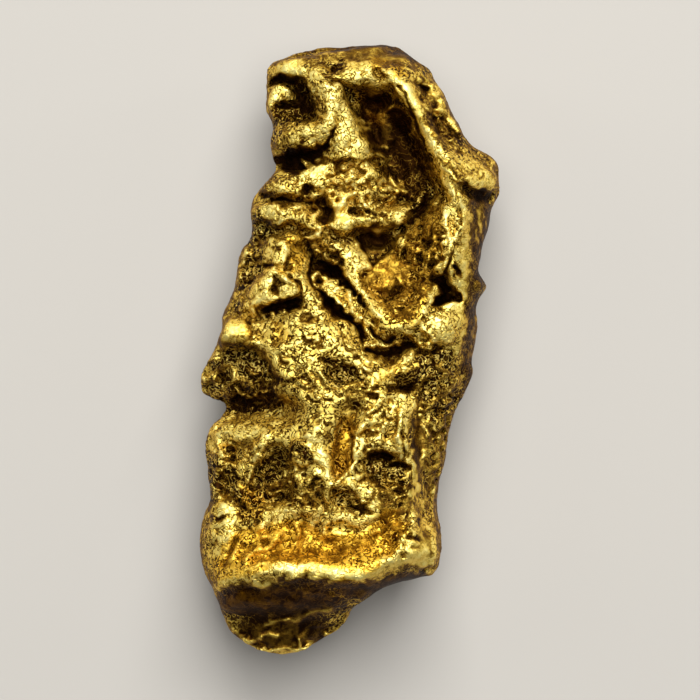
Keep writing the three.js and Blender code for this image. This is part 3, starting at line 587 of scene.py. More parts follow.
def form_toe(face):
    """Pale patch, smooth band, the crest with its drips, the corner knob, and the toe's underside."""
    face.bed(-6.3, -8.6, 0.7, 1.2, 0, 6.3, 0.2, -0.05, 0.7)
    face.crack(0.12, 0.6, (-6.65, -8.1), (-6.4, -8.22), (-6.2, -8.1))
    face.pit(-6.52, -8.8, 0.12, 0.14, 0, 0.4)
    face.pit(-6.65, -9.5, 0.16, 0.12, 0, 0.3)
    face.pit(-5.8, -8.6, 0.12, 0.1, 0, 0.25)
    face.ridge(0.16, 0.35, (-6.4, -6.9), (-6.3, -7.4), (-6.1, -7.8))
    face.ridge(0.14, 0.35, (-5.9, -7.0), (-6.0, -7.5))
    face.bed(-1.5, -9.2, 3.6, 0.75, 0, 6.9, 0.03, 0.1, 0.8)
    face.crack(0.09, 0.16, (-2.4, -7.4), (-2.3, -8.4), (-2.38, -9.3), (-2.55, -9.9))
    face.ridge(0.1, 0.25, (-2.6, -8.4), (-2.5, -9.0), (-2.6, -9.5))
    face.ridge(0.14, 0.3, (-5.2, -9.1), (-5.5, -9.7), (-5.9, -10.3), (-6.0, -10.8))
    face.crack(0.12, 0.3, (-5.5, -9.1), (-5.8, -9.8), (-6.2, -10.5))
    face.ridge(0.2, 0.3, (-3.3, -8.8), (-3.9, -9.1))
    face.ridge(0.2, 0.35, (-4.1, -8.3), (-4.5, -8.7))
    face.ridge(0.13, 0.35, (-1.15, -8.0), (-1.2, -8.5), (-1.15, -8.9))
    face.pit(-1.0, -8.62, 0.1, 0.15, 0, 0.5)
    face.scarp(0.35, 0.12, 0.5, (1.4, -8.5), (0.7, -8.8), (0.0, -8.9), (-0.7, -8.7), (-1.3, -8.9))
    face.ridge(0.16, 0.55, (-6.75, -11.6), (-6.4, -11.45), (-6.0, -11.1), (-5.6, -10.95), (-5.2, -10.8),
               (-5.02, -10.45), (-5.05, -10.1), (-4.85, -9.85), (-4.5, -9.63), (-4.0, -9.58), (-3.6, -9.4))
    face.ridge(0.14, 0.5, (-4.8, -11.25), (-4.72, -10.75), (-4.5, -10.4), (-4.2, -10.25), (-3.9, -10.22),
               (-3.8, -10.5), (-3.9, -10.78), (-4.3, -10.75))
    face.ridge(0.13, 0.4, (-4.55, -11.2), (-4.25, -11.45), (-4.0, -11.4))
    face.bed(-4.3, -10.0, 0.5, 0.2, 0, 6.9, 0.0, 0.0, 0.8)
    face.ridge(0.26, 0.5, (-3.3, -10.5), (-2.9, -10.5), (-2.6, -10.7), (-2.3, -10.6), (-2.0, -10.42),
               (-1.5, -10.5), (-1.1, -10.55), (-0.75, -10.75), (-0.5, -10.95), (0.0, -10.97), (0.5, -10.9),
               (0.9, -10.75), (1.3, -10.5), (1.9, -10.25), (2.6, -10.2), (3.4, -10.3))
    for x, y in ((-2.7, -11.0), (-1.55, -10.95), (1.1, -10.9), (-3.3, -10.8), (-0.7, -11.05), (0.3, -11.1)):
        face.knob(x, y, 0.2, 0.22, 0, 0.3)
    for x, y in ((-3.15, -10.5), (-2.55, -10.75), (-1.95, -10.5), (-1.25, -10.6), (-0.45, -10.95),
                 (0.5, -10.95), (1.35, -10.6), (2.1, -10.35)):
        face.knob(x, y, 0.34, 0.28, 0, 0.45)
    face.pit(-2.1, -10.85, 0.25, 0.16, 0, 0.5)
    face.bed(2.9, -10.1, 0.9, 0.35, -4, 7.9, 0.0, -0.1, 0.7)
    face.facet(7.85, 0.0, -0.12, (3.25, -7.75), (2.85, -8.5), (2.4, -9.25), (2.0, -9.9), (2.3, -10.4),
               (4.0, -10.5), (4.2, -9.6), (3.9, -8.7))
    face.ridge(0.14, 0.35, (3.6, -8.0), (3.8, -8.6), (4.05, -9.1), (4.15, -9.7), (4.05, -10.3),
               (3.95, -10.8))
    face.crack(0.08, 0.35, (3.75, -8.7), (3.9, -9.2), (3.9, -9.9))
    face.pit(3.3, -8.22, 0.16, 0.2, 0, 0.5)
    face.crack(0.09, 0.5, (2.9, -9.0), (3.15, -9.1), (3.4, -9.15))
    face.crack(0.05, 0.3, (3.1, -9.5), (3.6, -9.48))
    face.pit(3.9, -10.55, 0.12, 0.12, 0, 0.4)
    face.pit(2.65, -9.9, 0.15, 0.1, 0, 0.3)
    # Underside
    face.bed(-3.0, -12.1, 3.2, 0.6, 4, 6.7, 0.0, 1.1, 0.7)
    face.ridge(0.12, 0.25, (-4.2, -13.5), (-3.3, -13.3), (-2.6, -13.1), (-1.7, -12.8), (-0.9, -12.75))
    face.bed(-3.4, -14.0, 0.8, 0.5, 10, 4.5, 0.2, 0.3, 0.7)
    face.bed(-1.7, -13.6, 0.7, 0.5, 25, 4.5, -0.1, 0.6, 0.7)
    face.ridge(0.12, 0.35, (-6.2, -13.2), (-5.75, -13.65), (-5.45, -14.05), (-5.0, -14.4))
    face.ridge(0.12, 0.4, (-4.5, -14.75), (-3.9, -14.8), (-3.2, -14.65), (-2.6, -14.8), (-2.1, -14.65),
               (-1.7, -14.45))
    face.ridge(0.09, 0.35, (-2.45, -14.2), (-2.42, -14.65))
    face.ridge(0.09, 0.35, (-0.1, -12.95), (-0.3, -13.4), (-0.6, -13.8), (-1.2, -14.0))
    face.ridge(0.1, 0.3, (-4.3, -14.1), (-3.9, -13.95), (-3.6, -14.0))
    face.crack(0.08, 0.2, (-2.75, -13.6), (-2.7, -14.1), (-2.6, -14.5))


FLAKES = 9  # lips of flakes in an oval one millimetre in radius
# Where the face is broken into small flakes, in millimetres: x, y, across, along, turn, strength
CRUMPLED = [
    (0.5, 7.9, 2.2, 1.7, -10, 1.0),
    (-2.7, 10.3, 1.2, 0.6, 0, 0.7),
    (-3.0, 7.2, 1.7, 1.1, 0, 0.9),
    (4.4, 11.5, 0.8, 2.2, 28, 0.9),
    (3.8, 5.2, 1.0, 2.4, 0, 1.0),
    (2.3, 2.6, 1.2, 1.0, 0, 0.6),
    (-5.0, 3.8, 0.8, 1.8, -20, 1.0),
    (-4.9, -1.8, 1.4, 1.2, 0, 0.8),
    (4.3, -2.2, 1.0, 1.9, 0, 1.0),
    (4.0, -5.2, 0.6, 2.0, -5, 1.0),
    (-4.6, -6.0, 1.9, 1.6, 0, 1.0),
    (1.2, -6.4, 1.8, 1.3, 0, 0.9),
    (-2.2, -6.6, 1.2, 1.0, 0, 0.7),
    (-1.2, -1.0, 3.4, 2.4, 0, 0.35),
    (1.4, -3.2, 1.4, 1.4, 0, 0.6),
]


def scatter_flakes(face):
    """Small flakes at random over the crumpled ovals, by their area and strength."""
    chance = np.random.default_rng(SEED + 40)
    for x, y, across, along, turn, strength in CRUMPLED:
        for _ in range(round(FLAKES * across * along * strength)):
            out, way = math.sqrt(chance.uniform(0, 1)), chance.uniform(0, math.tau)
            u, v = out * math.cos(way) * across, out * math.sin(way) * along
            c, s = math.cos(math.radians(turn)), math.sin(math.radians(turn))
            size, lean, lift = chance.uniform((0.12, -0.9, 0.1), (0.32, 0.7, 0.3))
            face.flake(x + u * c - v * s, y + u * s + v * c, size, lean, lift)


def form(face):
    """The whole face, from the head down to the toe, and then its small flakes."""
    form_head(face)
    form_middle(face)
    form_waist(face)
    form_lower(face)
    form_toe(face)
    scatter_flakes(face)
    strength = paint(face, CRUMPLED, 0.25)
    face.crumple(0.75, 0.6, SEED + 20, strength)
    face.crumple(0.38, 0.55, SEED + 21, strength)


def paint(face, ovals, least=0.0):
    """One number for each point: the strongest of the ovals it lies in."""
    amount = np.full(len(face.x), least)
    for x, y, across, along, turn, strength in ovals:
        where, r = face.within(x, y, across, along, turn)
        amount[where] = np.maximum(amount[where], strength * (1 - smoothstep(r, 0.65, 1.25)))
    return amount


def lay(face, patches, lines=()):
    """One number for each point: the strongest of the patches and lines it lies in."""
    amount = np.zeros(len(face.x))
    for strength, *corners in patches:
        where, share = face.patch(corners, 0.06)
        amount[where] = np.maximum(amount[where], strength * share)
    for strength, width, *path in lines:
        where, distance, _ = face.beside(path, 2 * width)
        share = 1 - smoothstep(distance * face.ragged(where, SEED + 7), 0.6 * width, 1.4 * width)
        amount[where] = np.maximum(amount[where], strength * share)
    return amount


def soften(mesh, rounds):
    return worked(mesh, "SMOOTH", factor=0.5, iterations=rounds)


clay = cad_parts["nugget"].data.copy()
clay.transform(Matrix.Scale(1 / MM, 4))
clay = worked(clay, "WELD", merge_threshold=0.001)
clay = worked(clay, "REMESH", mode="VOXEL", voxel_size=CLAY)
clay = soften(clay, SOFTEN)

points = points_of(clay)
upward = smoothstep(normals_of(clay)[:, 2], 0.0, 0.3)
up = upward > 0
face = Face(points[up], WANDER)
form(face)
base = surroundings(face)
above = face.z - base
face.z = base + np.where(above > 0, RISE * np.tanh(above / RISE), FALL * np.tanh(above / FALL))
worn_top = np.minimum(face.z, TOP_WEAR + HEADROOM * np.tanh((face.z - TOP_WEAR) / HEADROOM))
points[up, 2] += upward[up] * (worn_top - points[up, 2])
clay.vertices.foreach_set("co", points.astype(np.float32).ravel())
clay = worked(clay, "REMESH", mode="VOXEL", voxel_size=CLAY)
clay = soften(clay, 2)


# ---- The nugget's etched skin ----
# Acid soils and rolling gravel leave native gold lumpy and finely etched, as if by worms, and burnish
# what stands out. Geometry nodes push the clay in and out along its normals, less where it is polished.
PIECE_FACES = 196000
GRAIN = 0.1  # spacing of the finished piece's points, in millimetres
LUMP_PITCH, LUMP_HEIGHT = 1.5 * MM, 0.1 * MM
KNOB_PITCH, KNOB_HEIGHT = 0.6 * MM, 0.06 * MM
WORM_PITCH, WORM_HEIGHT = 0.3 * MM, 0.042 * MM
SKIN_SEED = 4.0
STRAY = [(1.2, 0.1), (0.5, 0.15), (0.2, 0.15)]  # edges of the stain, painted shade, painted highlight and amber patches wander: pitch, size
FRESH = 0.3  # how stained the gold is where it is neither hollow nor proud
# Polished places, in millimetres: x, y, across, along, turn, amount
POLISHED = [
    (3.4, -9.6, 0.75, 1.2, 0, 0.6),
    (3.0, 11.8, 0.35, 1.7, 31, 0.6),
    (-1.6, -10.65, 2.0, 0.32, 0, 0.6),
    (1.4, -10.6, 1.8, 0.32, 12, 0.6),
    (-3.0, -11.35, 3.8, 0.4, 2, 0.7),
    (-5.55, 0.9, 0.8, 0.6, 10, 0.7),
    (-0.3, -4.7, 0.42, 1.4, -6, 0.3),
    (-1.5, -9.4, 3.8, 0.8, 0, 0.3),
    (-3.5, -12.2, 3.6, 1.0, 0, 0.9),
    (1.5, -11.4, 2.5, 0.5, 10, 0.9),
    (3.3, -5.0, 0.35, 2.6, -4, 0.8),
    (-3.0, 13.7, 1.0, 0.4, 20, 0.6),
    (1.0, 14.3, 2.5, 0.5, 0, 0.6),
    (6.0, 8.6, 1.0, 0.6, -12, 0.3),
    (4.3, 11.6, 0.8, 2.2, 28, 0.55),
    (6.4, 5.5, 0.6, 2.6, 0, 0.8),
    (1.2, 5.2, 1.0, 0.8, 0, 0.9),
    (1.8, 3.8, 1.2, 1.2, 0, 0.45),
    (-1.6, 8.9, 0.5, 0.6, 0, 0.5),
    (-0.6, 7.0, 0.5, 0.9, 20, 0.5),
    (-3.2, -13.8, 2.6, 1.2, 0, 0.9),
    (1.0, 14.7, 4.5, 0.5, -8, 0.7),
    (5.8, 2.0, 0.5, 5.0, 0, 0.6),
    (1.6, 11.0, 1.1, 2.0, 25, 0.8),
    (2.8, 8.8, 1.1, 1.7, 15, 0.65),
]
# Stain patches (partly iron stain, partly painted shade), rubbed patches (partly burnish, partly painted
# highlight)
# and amber patches (a warm tint, partly painted reflection of gold on gold): how strongly, and then their
# corners in millimetres
STAINS_AND_SHADE = [
    (0.97, (-2.55, 10.05), (-2.3, 10.3), (-2.1, 10.25), (-2.15, 10.0), (-1.9, 9.9), (-1.75, 9.75),
     (-2.5, 9.75)),
    (0.6, (-3.85, 10.9), (-3.1, 10.9), (-2.75, 10.5), (-2.8, 9.8), (-3.1, 9.4), (-3.8, 9.4), (-4.0, 10.2)),
    (0.35, (-1.2, 13.95), (-0.2, 14.1), (1.0, 14.0), (2.6, 13.7), (2.8, 14.2), (1.0, 14.8), (-1.0, 14.8)),
    (0.7, (-3.5, 12.5), (-3.25, 12.6), (-3.15, 12.35), (-3.4, 12.25)),
    (0.85, (-3.95, 13.3), (-3.3, 13.5), (-2.6, 13.25), (-2.1, 12.9), (-1.9, 12.6), (-1.5, 12.0),
     (-1.1, 11.65), (-1.5, 11.55), (-1.7, 11.3), (-2.1, 11.7), (-2.6, 12.0), (-3.0, 12.1), (-2.8, 12.5),
     (-3.2, 13.0), (-3.9, 13.0)),
    (0.95, (-3.75, 12.15), (-3.0, 12.2), (-2.8, 11.9), (-3.7, 11.8)),
    (0.92, (-3.9, 11.9), (-2.6, 12.0), (-1.6, 11.5), (-1.7, 11.1), (-2.4, 10.95), (-3.3, 10.9),
     (-3.9, 11.1)),
    (0.96, (-3.2, 9.7), (-2.7, 9.8), (-2.3, 10.2), (-2.4, 9.95), (-2.0, 9.7), (-1.3, 9.85), (-1.05, 10.4),
     (-0.6, 10.7), (-0.9, 10.1), (-0.85, 9.8), (-1.2, 9.65), (-1.7, 9.5), (-1.8, 9.1), (-2.0, 9.3),
     (-2.3, 9.1), (-2.1, 8.8), (-2.4, 8.55), (-3.2, 8.6), (-3.6, 8.8), (-3.3, 9.2)),
    (0.62, (-0.4, 12.95), (0.4, 12.9), (1.1, 12.5), (1.5, 12.5), (1.9, 12.6), (2.0, 11.0), (1.9, 9.9),
     (1.3, 9.5), (1.0, 9.9), (0.9, 10.3), (0.5, 10.5), (0.75, 10.8), (0.6, 11.2), (0.25, 11.7),
     (0.0, 12.3)),
    (0.84, (1.9, 12.5), (2.3, 12.1), (2.6, 12.1), (2.9, 11.6), (3.1, 11.0), (3.5, 10.2), (3.9, 9.6),
     (4.1, 9.0), (4.1, 8.0), (3.7, 7.4), (3.5, 7.0), (3.1, 6.6), (3.0, 7.1), (2.6, 7.3), (2.8, 7.6),
     (2.6, 8.1), (2.3, 8.4), (1.9, 8.6), (1.5, 8.7), (1.3, 9.2), (1.9, 10.0)),
    (0.7, (-1.2, 14.0), (-0.2, 14.05), (-0.3, 13.55), (-0.6, 13.4), (-1.0, 13.8)),
    (0.5, (-2.3, 14.2), (-1.1, 14.3), (-1.0, 13.9), (-1.6, 13.8)),
    (0.85, (-2.0, 12.95), (-1.2, 13.1), (-0.7, 13.3), (-1.1, 12.95), (-1.6, 12.8)),
    (0.75, (3.1, 13.1), (3.7, 12.9), (4.0, 12.6), (3.6, 12.5), (3.2, 12.8)),
    (0.55, (4.4, 11.6), (5.2, 10.7), (5.6, 10.2), (5.0, 9.9), (4.3, 10.3), (4.0, 11.0)),
    (0.62, (3.4, 12.5), (4.6, 12.5), (5.3, 11.0), (5.8, 10.0), (4.7, 9.6), (4.0, 10.4), (3.5, 11.4)),
    (0.5, (-2.0, 14.6), (1.5, 14.5), (3.3, 13.9), (4.2, 13.2), (4.8, 14.0), (2.0, 15.2), (-2.0, 15.0)),
    (0.62, (5.8, 7.3), (5.8, 5.0), (5.65, 3.6), (5.6, 0.5), (5.4, -1.0), (5.0, -3.0), (5.6, -3.2),
     (6.5, -0.5), (6.8, 3.0), (7.1, 7.3)),
    (0.5, (-3.9, 14.0), (-2.0, 14.5), (0.5, 14.7), (2.5, 14.4), (4.2, 13.4), (5.2, 11.5), (5.9, 10.0),
     (7.2, 9.4), (7.2, 10.5), (4.8, 14.0), (2.0, 15.3), (-2.0, 15.2), (-4.4, 14.3)),
    (0.92, (5.4, 8.0), (6.2, 7.75), (7.1, 7.6), (7.1, 7.2), (6.3, 7.3), (5.7, 7.3)),
    (0.6, (5.9, 7.3), (6.9, 7.3), (6.8, 5.0), (6.3, 3.5), (5.9, 3.6)),
    (0.85, (-4.3, 7.65), (-3.6, 7.45), (-2.8, 7.42), (-2.0, 7.32), (-2.0, 7.12), (-2.9, 7.22), (-3.7, 7.28),
     (-4.3, 7.4)),
    (0.95, (-2.1, 7.35), (-1.4, 7.15), (-1.05, 6.75), (-1.3, 6.65), (-1.6, 6.85), (-2.1, 7.05)),
    (0.8, (-2.4, 8.0), (-1.9, 8.0), (-1.7, 7.7), (-2.2, 7.6)),
    (0.6, (-4.0, 7.75), (-3.7, 7.95), (-3.2, 7.75), (-3.4, 7.5)),
    (0.9, (-4.7, 6.6), (-4.2, 6.45), (-3.9, 6.05), (-3.3, 6.1), (-2.9, 6.2), (-3.3, 5.9), (-3.6, 5.8),
     (-4.0, 5.2), (-4.9, 5.2), (-5.1, 5.7)),
    (0.6, (-3.0, 6.3), (-2.4, 6.2), (-2.1, 5.8), (-2.1, 5.3), (-2.6, 5.5), (-3.1, 5.9)),
    (0.8, (-4.9, 5.0), (-4.2, 5.1), (-4.1, 4.6), (-3.8, 4.1), (-3.9, 3.8), (-4.5, 3.3), (-4.9, 2.9),
     (-5.4, 2.9), (-5.3, 4.0)),
    (0.7, (-5.4, 2.6), (-5.0, 2.9), (-5.0, 2.4), (-5.4, 1.8), (-5.9, 1.5)),
    (0.8, (-3.85, 5.1), (-3.3, 5.1), (-3.4, 4.9), (-3.9, 4.9)),
    (0.92, (-4.2, 4.3), (-3.7, 4.25), (-3.6, 4.0), (-4.1, 4.05)),
    (0.96, (-4.3, 1.9), (-4.0, 2.15), (-3.2, 2.3), (-3.0, 2.55), (-2.4, 2.5), (-2.35, 2.1), (-2.9, 1.85),
     (-3.8, 1.75)),
    (0.96, (-1.75, 4.45), (-1.5, 4.5), (-0.9, 4.3), (-0.5, 4.0), (-0.35, 3.6), (-0.6, 3.4), (-1.1, 3.45),
     (-1.6, 3.7)),
    (0.85, (-2.1, 5.2), (-1.9, 5.2), (-1.65, 4.6), (-1.75, 4.2), (-2.0, 4.6)),
    (0.95, (-0.5, 3.6), (-0.1, 3.15), (0.15, 2.75), (0.05, 2.6), (-0.3, 2.95), (-0.6, 3.3)),
    (0.95, (-1.5, 2.95), (-1.1, 2.65), (-0.6, 2.15), (-0.1, 1.85), (0.1, 1.5), (-0.3, 1.4), (-0.8, 1.8),
     (-1.2, 2.3)),
    (0.8, (0.1, 1.4), (0.8, 1.0), (0.9, 0.55), (0.5, 0.35), (0.3, 0.9)),
    (0.85, (0.35, 2.75), (0.75, 2.5), (0.85, 2.15), (0.5, 2.1), (0.35, 2.3)),
    (0.9, (1.0, 1.1), (1.4, 1.05), (1.3, 0.8), (1.9, 0.6), (1.8, 0.45), (1.2, 0.7), (1.0, 0.95)),
    (0.97, (4.3, 3.4), (4.65, 3.6), (4.75, 2.9), (5.0, 2.65), (5.2, 2.6), (4.7, 2.2), (4.1, 2.1),
     (4.05, 2.4), (4.35, 2.9)),
    (0.9, (5.0, 4.1), (5.15, 4.1), (5.4, 3.5), (5.3, 3.4)),
    (0.97, (0.6, 0.1), (1.3, 0.05), (2.0, 0.1), (2.6, 0.45), (3.0, 0.3), (3.3, 0.1), (2.9, -0.05),
     (2.5, -0.15), (2.0, -0.5), (1.4, -0.25)),
    (0.7, (2.1, 0.95), (2.6, 0.9), (2.7, 0.5), (2.2, 0.4), (1.8, 0.5)),
    (0.3, (0.2, 5.7), (0.9, 5.7), (1.4, 5.6), (1.9, 5.85), (2.3, 5.95), (2.6, 5.6), (2.1, 5.3), (1.7, 4.8),
     (1.4, 4.4), (1.35, 4.05), (1.0, 4.05), (0.8, 4.7), (0.5, 5.2)),
    (0.6, (-1.2, 5.6), (-0.7, 5.75), (-0.2, 5.6), (0.2, 5.6), (0.1, 5.3), (-0.6, 5.2), (-1.0, 5.2)),
    (0.92, (2.2, 5.9), (2.9, 6.2), (3.1, 6.7), (3.4, 7.0), (3.7, 7.1), (3.5, 6.7), (3.0, 6.1), (2.5, 5.8)),
    (0.5, (2.6, 5.4), (3.1, 6.1), (3.8, 7.2), (4.4, 7.0), (4.5, 5.6), (4.6, 4.9), (4.2, 3.5), (3.7, 2.2),
     (3.3, 2.0), (2.9, 2.6), (3.1, 3.5), (2.9, 4.5)),
    (0.6, (4.0, 8.6), (4.4, 8.6), (4.8, 7.5), (4.5, 7.0), (3.9, 7.3)),
    (0.8, (-0.1, 6.8), (0.3, 6.98), (0.8, 6.92), (1.3, 6.6), (0.7, 6.65)),
    (0.65, (-0.5, 8.0), (0.2, 7.9), (0.1, 7.75), (-0.4, 7.75)),
    (0.7, (1.0, 7.6), (1.3, 7.6), (1.8, 7.3), (2.1, 7.2), (1.6, 7.1), (1.1, 7.35)),
    (0.6, (1.2, 9.0), (1.6, 8.8), (2.0, 8.3), (1.6, 8.4), (1.3, 8.7)),
    (0.5, (2.1, 7.6), (2.7, 7.7), (2.8, 7.0), (2.2, 7.2)),
    (0.75, (1.9, 2.9), (2.3, 2.9), (2.4, 2.6), (2.0, 2.3), (1.8, 2.5)),
    (0.3, (-6.4, 0.5), (-5.9, 0.75), (-5.3, 0.85), (-4.9, 0.6), (-4.8, 0.2), (-6.4, 0.2)),
    (0.85, (-6.4, 0.3), (-5.6, 0.35), (-5.0, 0.25), (-4.7, 0.1), (-4.9, -0.15), (-5.6, 0.0), (-6.2, -0.1)),
    (0.8, (-6.3, -0.1), (-5.4, 0.0), (-4.6, -0.2), (-4.0, -0.4), (-3.75, -0.9), (-3.6, -1.4), (-2.6, -1.5),
     (-2.9, -1.65), (-3.6, -1.7), (-4.4, -1.5), (-5.4, -1.5), (-5.7, -0.9), (-6.2, -0.8)),
    (0.93, (-5.9, -1.6), (-4.4, -1.5), (-3.6, -1.7), (-3.5, -2.3), (-3.9, -2.5), (-3.3, -2.75),
     (-3.4, -3.0), (-4.4, -3.2), (-5.9, -3.1), (-6.1, -2.4)),
    (0.85, (-6.8, -0.6), (-6.3, -0.5), (-6.0, -0.95), (-5.8, -1.3), (-6.2, -1.9), (-6.9, -1.9),
     (-6.6, -1.2)),
    (0.6, (-7.3, -1.7), (-6.1, -1.8), (-6.1, -2.6), (-7.0, -2.6)),
    (0.88, (-1.4, -0.4), (-1.0, -0.1), (-0.8, -0.4), (-0.2, -0.6), (0.4, -0.9), (0.9, -1.1), (0.5, -1.5),
     (0.0, -1.7), (-0.6, -1.8), (-1.0, -1.5), (-1.2, -1.0), (-1.0, -0.75)),
    (0.75, (0.25, -0.22), (0.55, -0.22), (0.58, -0.55), (0.3, -0.55)),
    (0.7, (-2.5, -1.1), (-2.1, -1.3), (-2.0, -1.5), (-2.5, -1.5)),
    (0.55, (0.1, -1.8), (0.8, -1.7), (1.2, -2.1), (0.8, -2.2), (0.8, -2.7), (0.3, -2.9), (0.0, -2.3)),
    (0.93, (2.0, -1.2), (3.0, -1.0), (3.4, -0.9), (3.4, -1.6), (3.1, -2.0), (2.2, -1.95), (1.7, -1.95),
     (2.4, -1.6)),
    (0.85, (3.2, -0.1), (4.4, 0.0), (5.1, -0.2), (5.2, -1.5), (5.4, -2.4), (4.9, -3.3), (4.6, -3.8),
     (3.9, -3.6), (3.3, -3.0), (3.3, -1.5), (3.4, -0.8)),
    (0.6, (2.15, -3.0), (3.2, -3.0), (3.3, -5.0), (3.7, -7.0), (3.3, -7.8), (3.0, -7.0), (2.5, -5.6),
     (2.15, -4.6)),
    (0.4, (3.5, -4.2), (4.6, -3.8), (4.5, -5.5), (4.2, -6.8), (3.8, -7.5), (3.5, -6.5), (3.6, -5.4)),
    (0.8, (0.4, -5.4), (1.0, -5.1), (1.2, -4.9), (2.0, -4.9), (2.4, -5.4), (2.8, -5.5), (3.0, -6.0),
     (3.0, -6.4), (2.6, -6.6), (2.1, -6.4), (1.6, -6.5), (1.1, -6.1), (0.7, -5.9)),
    (0.45, (1.3, -6.5), (3.1, -6.5), (3.2, -7.6), (2.6, -8.6), (2.2, -9.3), (1.5, -8.8), (1.4, -7.5)),
    (0.6, (-0.95, -6.55), (-0.3, -6.6), (0.2, -6.9), (0.7, -7.5), (0.9, -7.9), (0.3, -8.0), (-0.3, -7.9),
     (-1.0, -7.8)),
    (0.92, (0.0, -7.5), (0.8, -7.6), (1.0, -7.85), (0.1, -7.95)),
    (0.65, (-2.0, -6.0), (-1.4, -6.0), (-1.3, -6.6), (-1.9, -6.8)),
    (0.5, (-2.2, -6.6), (-1.2, -6.7), (-1.3, -7.6), (-2.1, -7.4)),
    (0.92, (-4.0, -4.7), (-3.0, -4.6), (-2.5, -4.4), (-2.0, -4.4), (-1.85, -5.0), (-2.0, -5.3),
     (-2.9, -5.15), (-3.2, -5.4), (-3.2, -6.2), (-2.6, -6.4), (-2.7, -7.0), (-2.2, -7.5), (-3.4, -7.4),
     (-4.0, -7.5), (-4.5, -7.3), (-4.8, -6.9), (-4.6, -6.3), (-4.95, -6.2), (-4.6, -5.6), (-4.2, -5.0)),
    (0.88, (-7.0, -4.9), (-6.3, -5.3), (-5.7, -5.5), (-5.5, -5.9), (-5.1, -6.2), (-4.9, -6.9), (-4.9, -7.6),
     (-5.4, -7.9), (-5.9, -7.3), (-6.2, -6.7), (-6.6, -7.4), (-7.1, -7.5)),
    (0.65, (-6.0, -4.6), (-5.4, -4.7), (-5.0, -4.9), (-5.2, -5.5), (-5.8, -5.2)),
    (0.75, (-5.4, -6.6), (-4.6, -6.9), (-4.1, -7.5), (-4.3, -8.3), (-4.9, -8.2), (-5.4, -7.9)),
    (0.85, (-6.7, -8.0), (-6.3, -8.0), (-6.2, -8.25), (-6.6, -8.3)),
    (0.8, (3.2, -8.0), (3.4, -8.1), (3.4, -8.35), (3.2, -8.35)),
    (0.8, (2.85, -9.0), (3.2, -9.0), (3.4, -9.2), (3.1, -9.25)),
    (0.7, (2.6, -10.4), (3.5, -10.4), (3.9, -10.9), (2.4, -10.9)),
    (0.62, (-6.6, -11.6), (-5.4, -11.2), (-4.8, -11.3), (-4.1, -11.6), (-3.4, -11.1), (-2.8, -11.0),
     (-1.8, -11.2), (-0.5, -11.1), (1.2, -11.0), (2.0, -10.8), (3.4, -10.7), (4.2, -11.1), (2.0, -11.9),
     (0.9, -12.4), (0.0, -13.0), (-0.4, -13.9), (-1.6, -14.4), (-2.0, -14.8), (-2.4, -13.2), (-4.5, -13.4),
     (-4.8, -14.6), (-6.6, -13.2)),
    (0.5, (-4.5, -13.4), (-2.3, -13.1), (-2.1, -14.6), (-4.7, -14.8)),
    (0.7, (-2.3, -10.6), (-1.8, -10.6), (-1.8, -10.9), (-2.2, -10.95)),
    (0.3, (0.4, 3.7), (1.2, 4.1), (2.6, 5.3), (3.2, 6.3), (3.3, 3.0), (3.0, 1.5), (1.6, 1.8)),
]
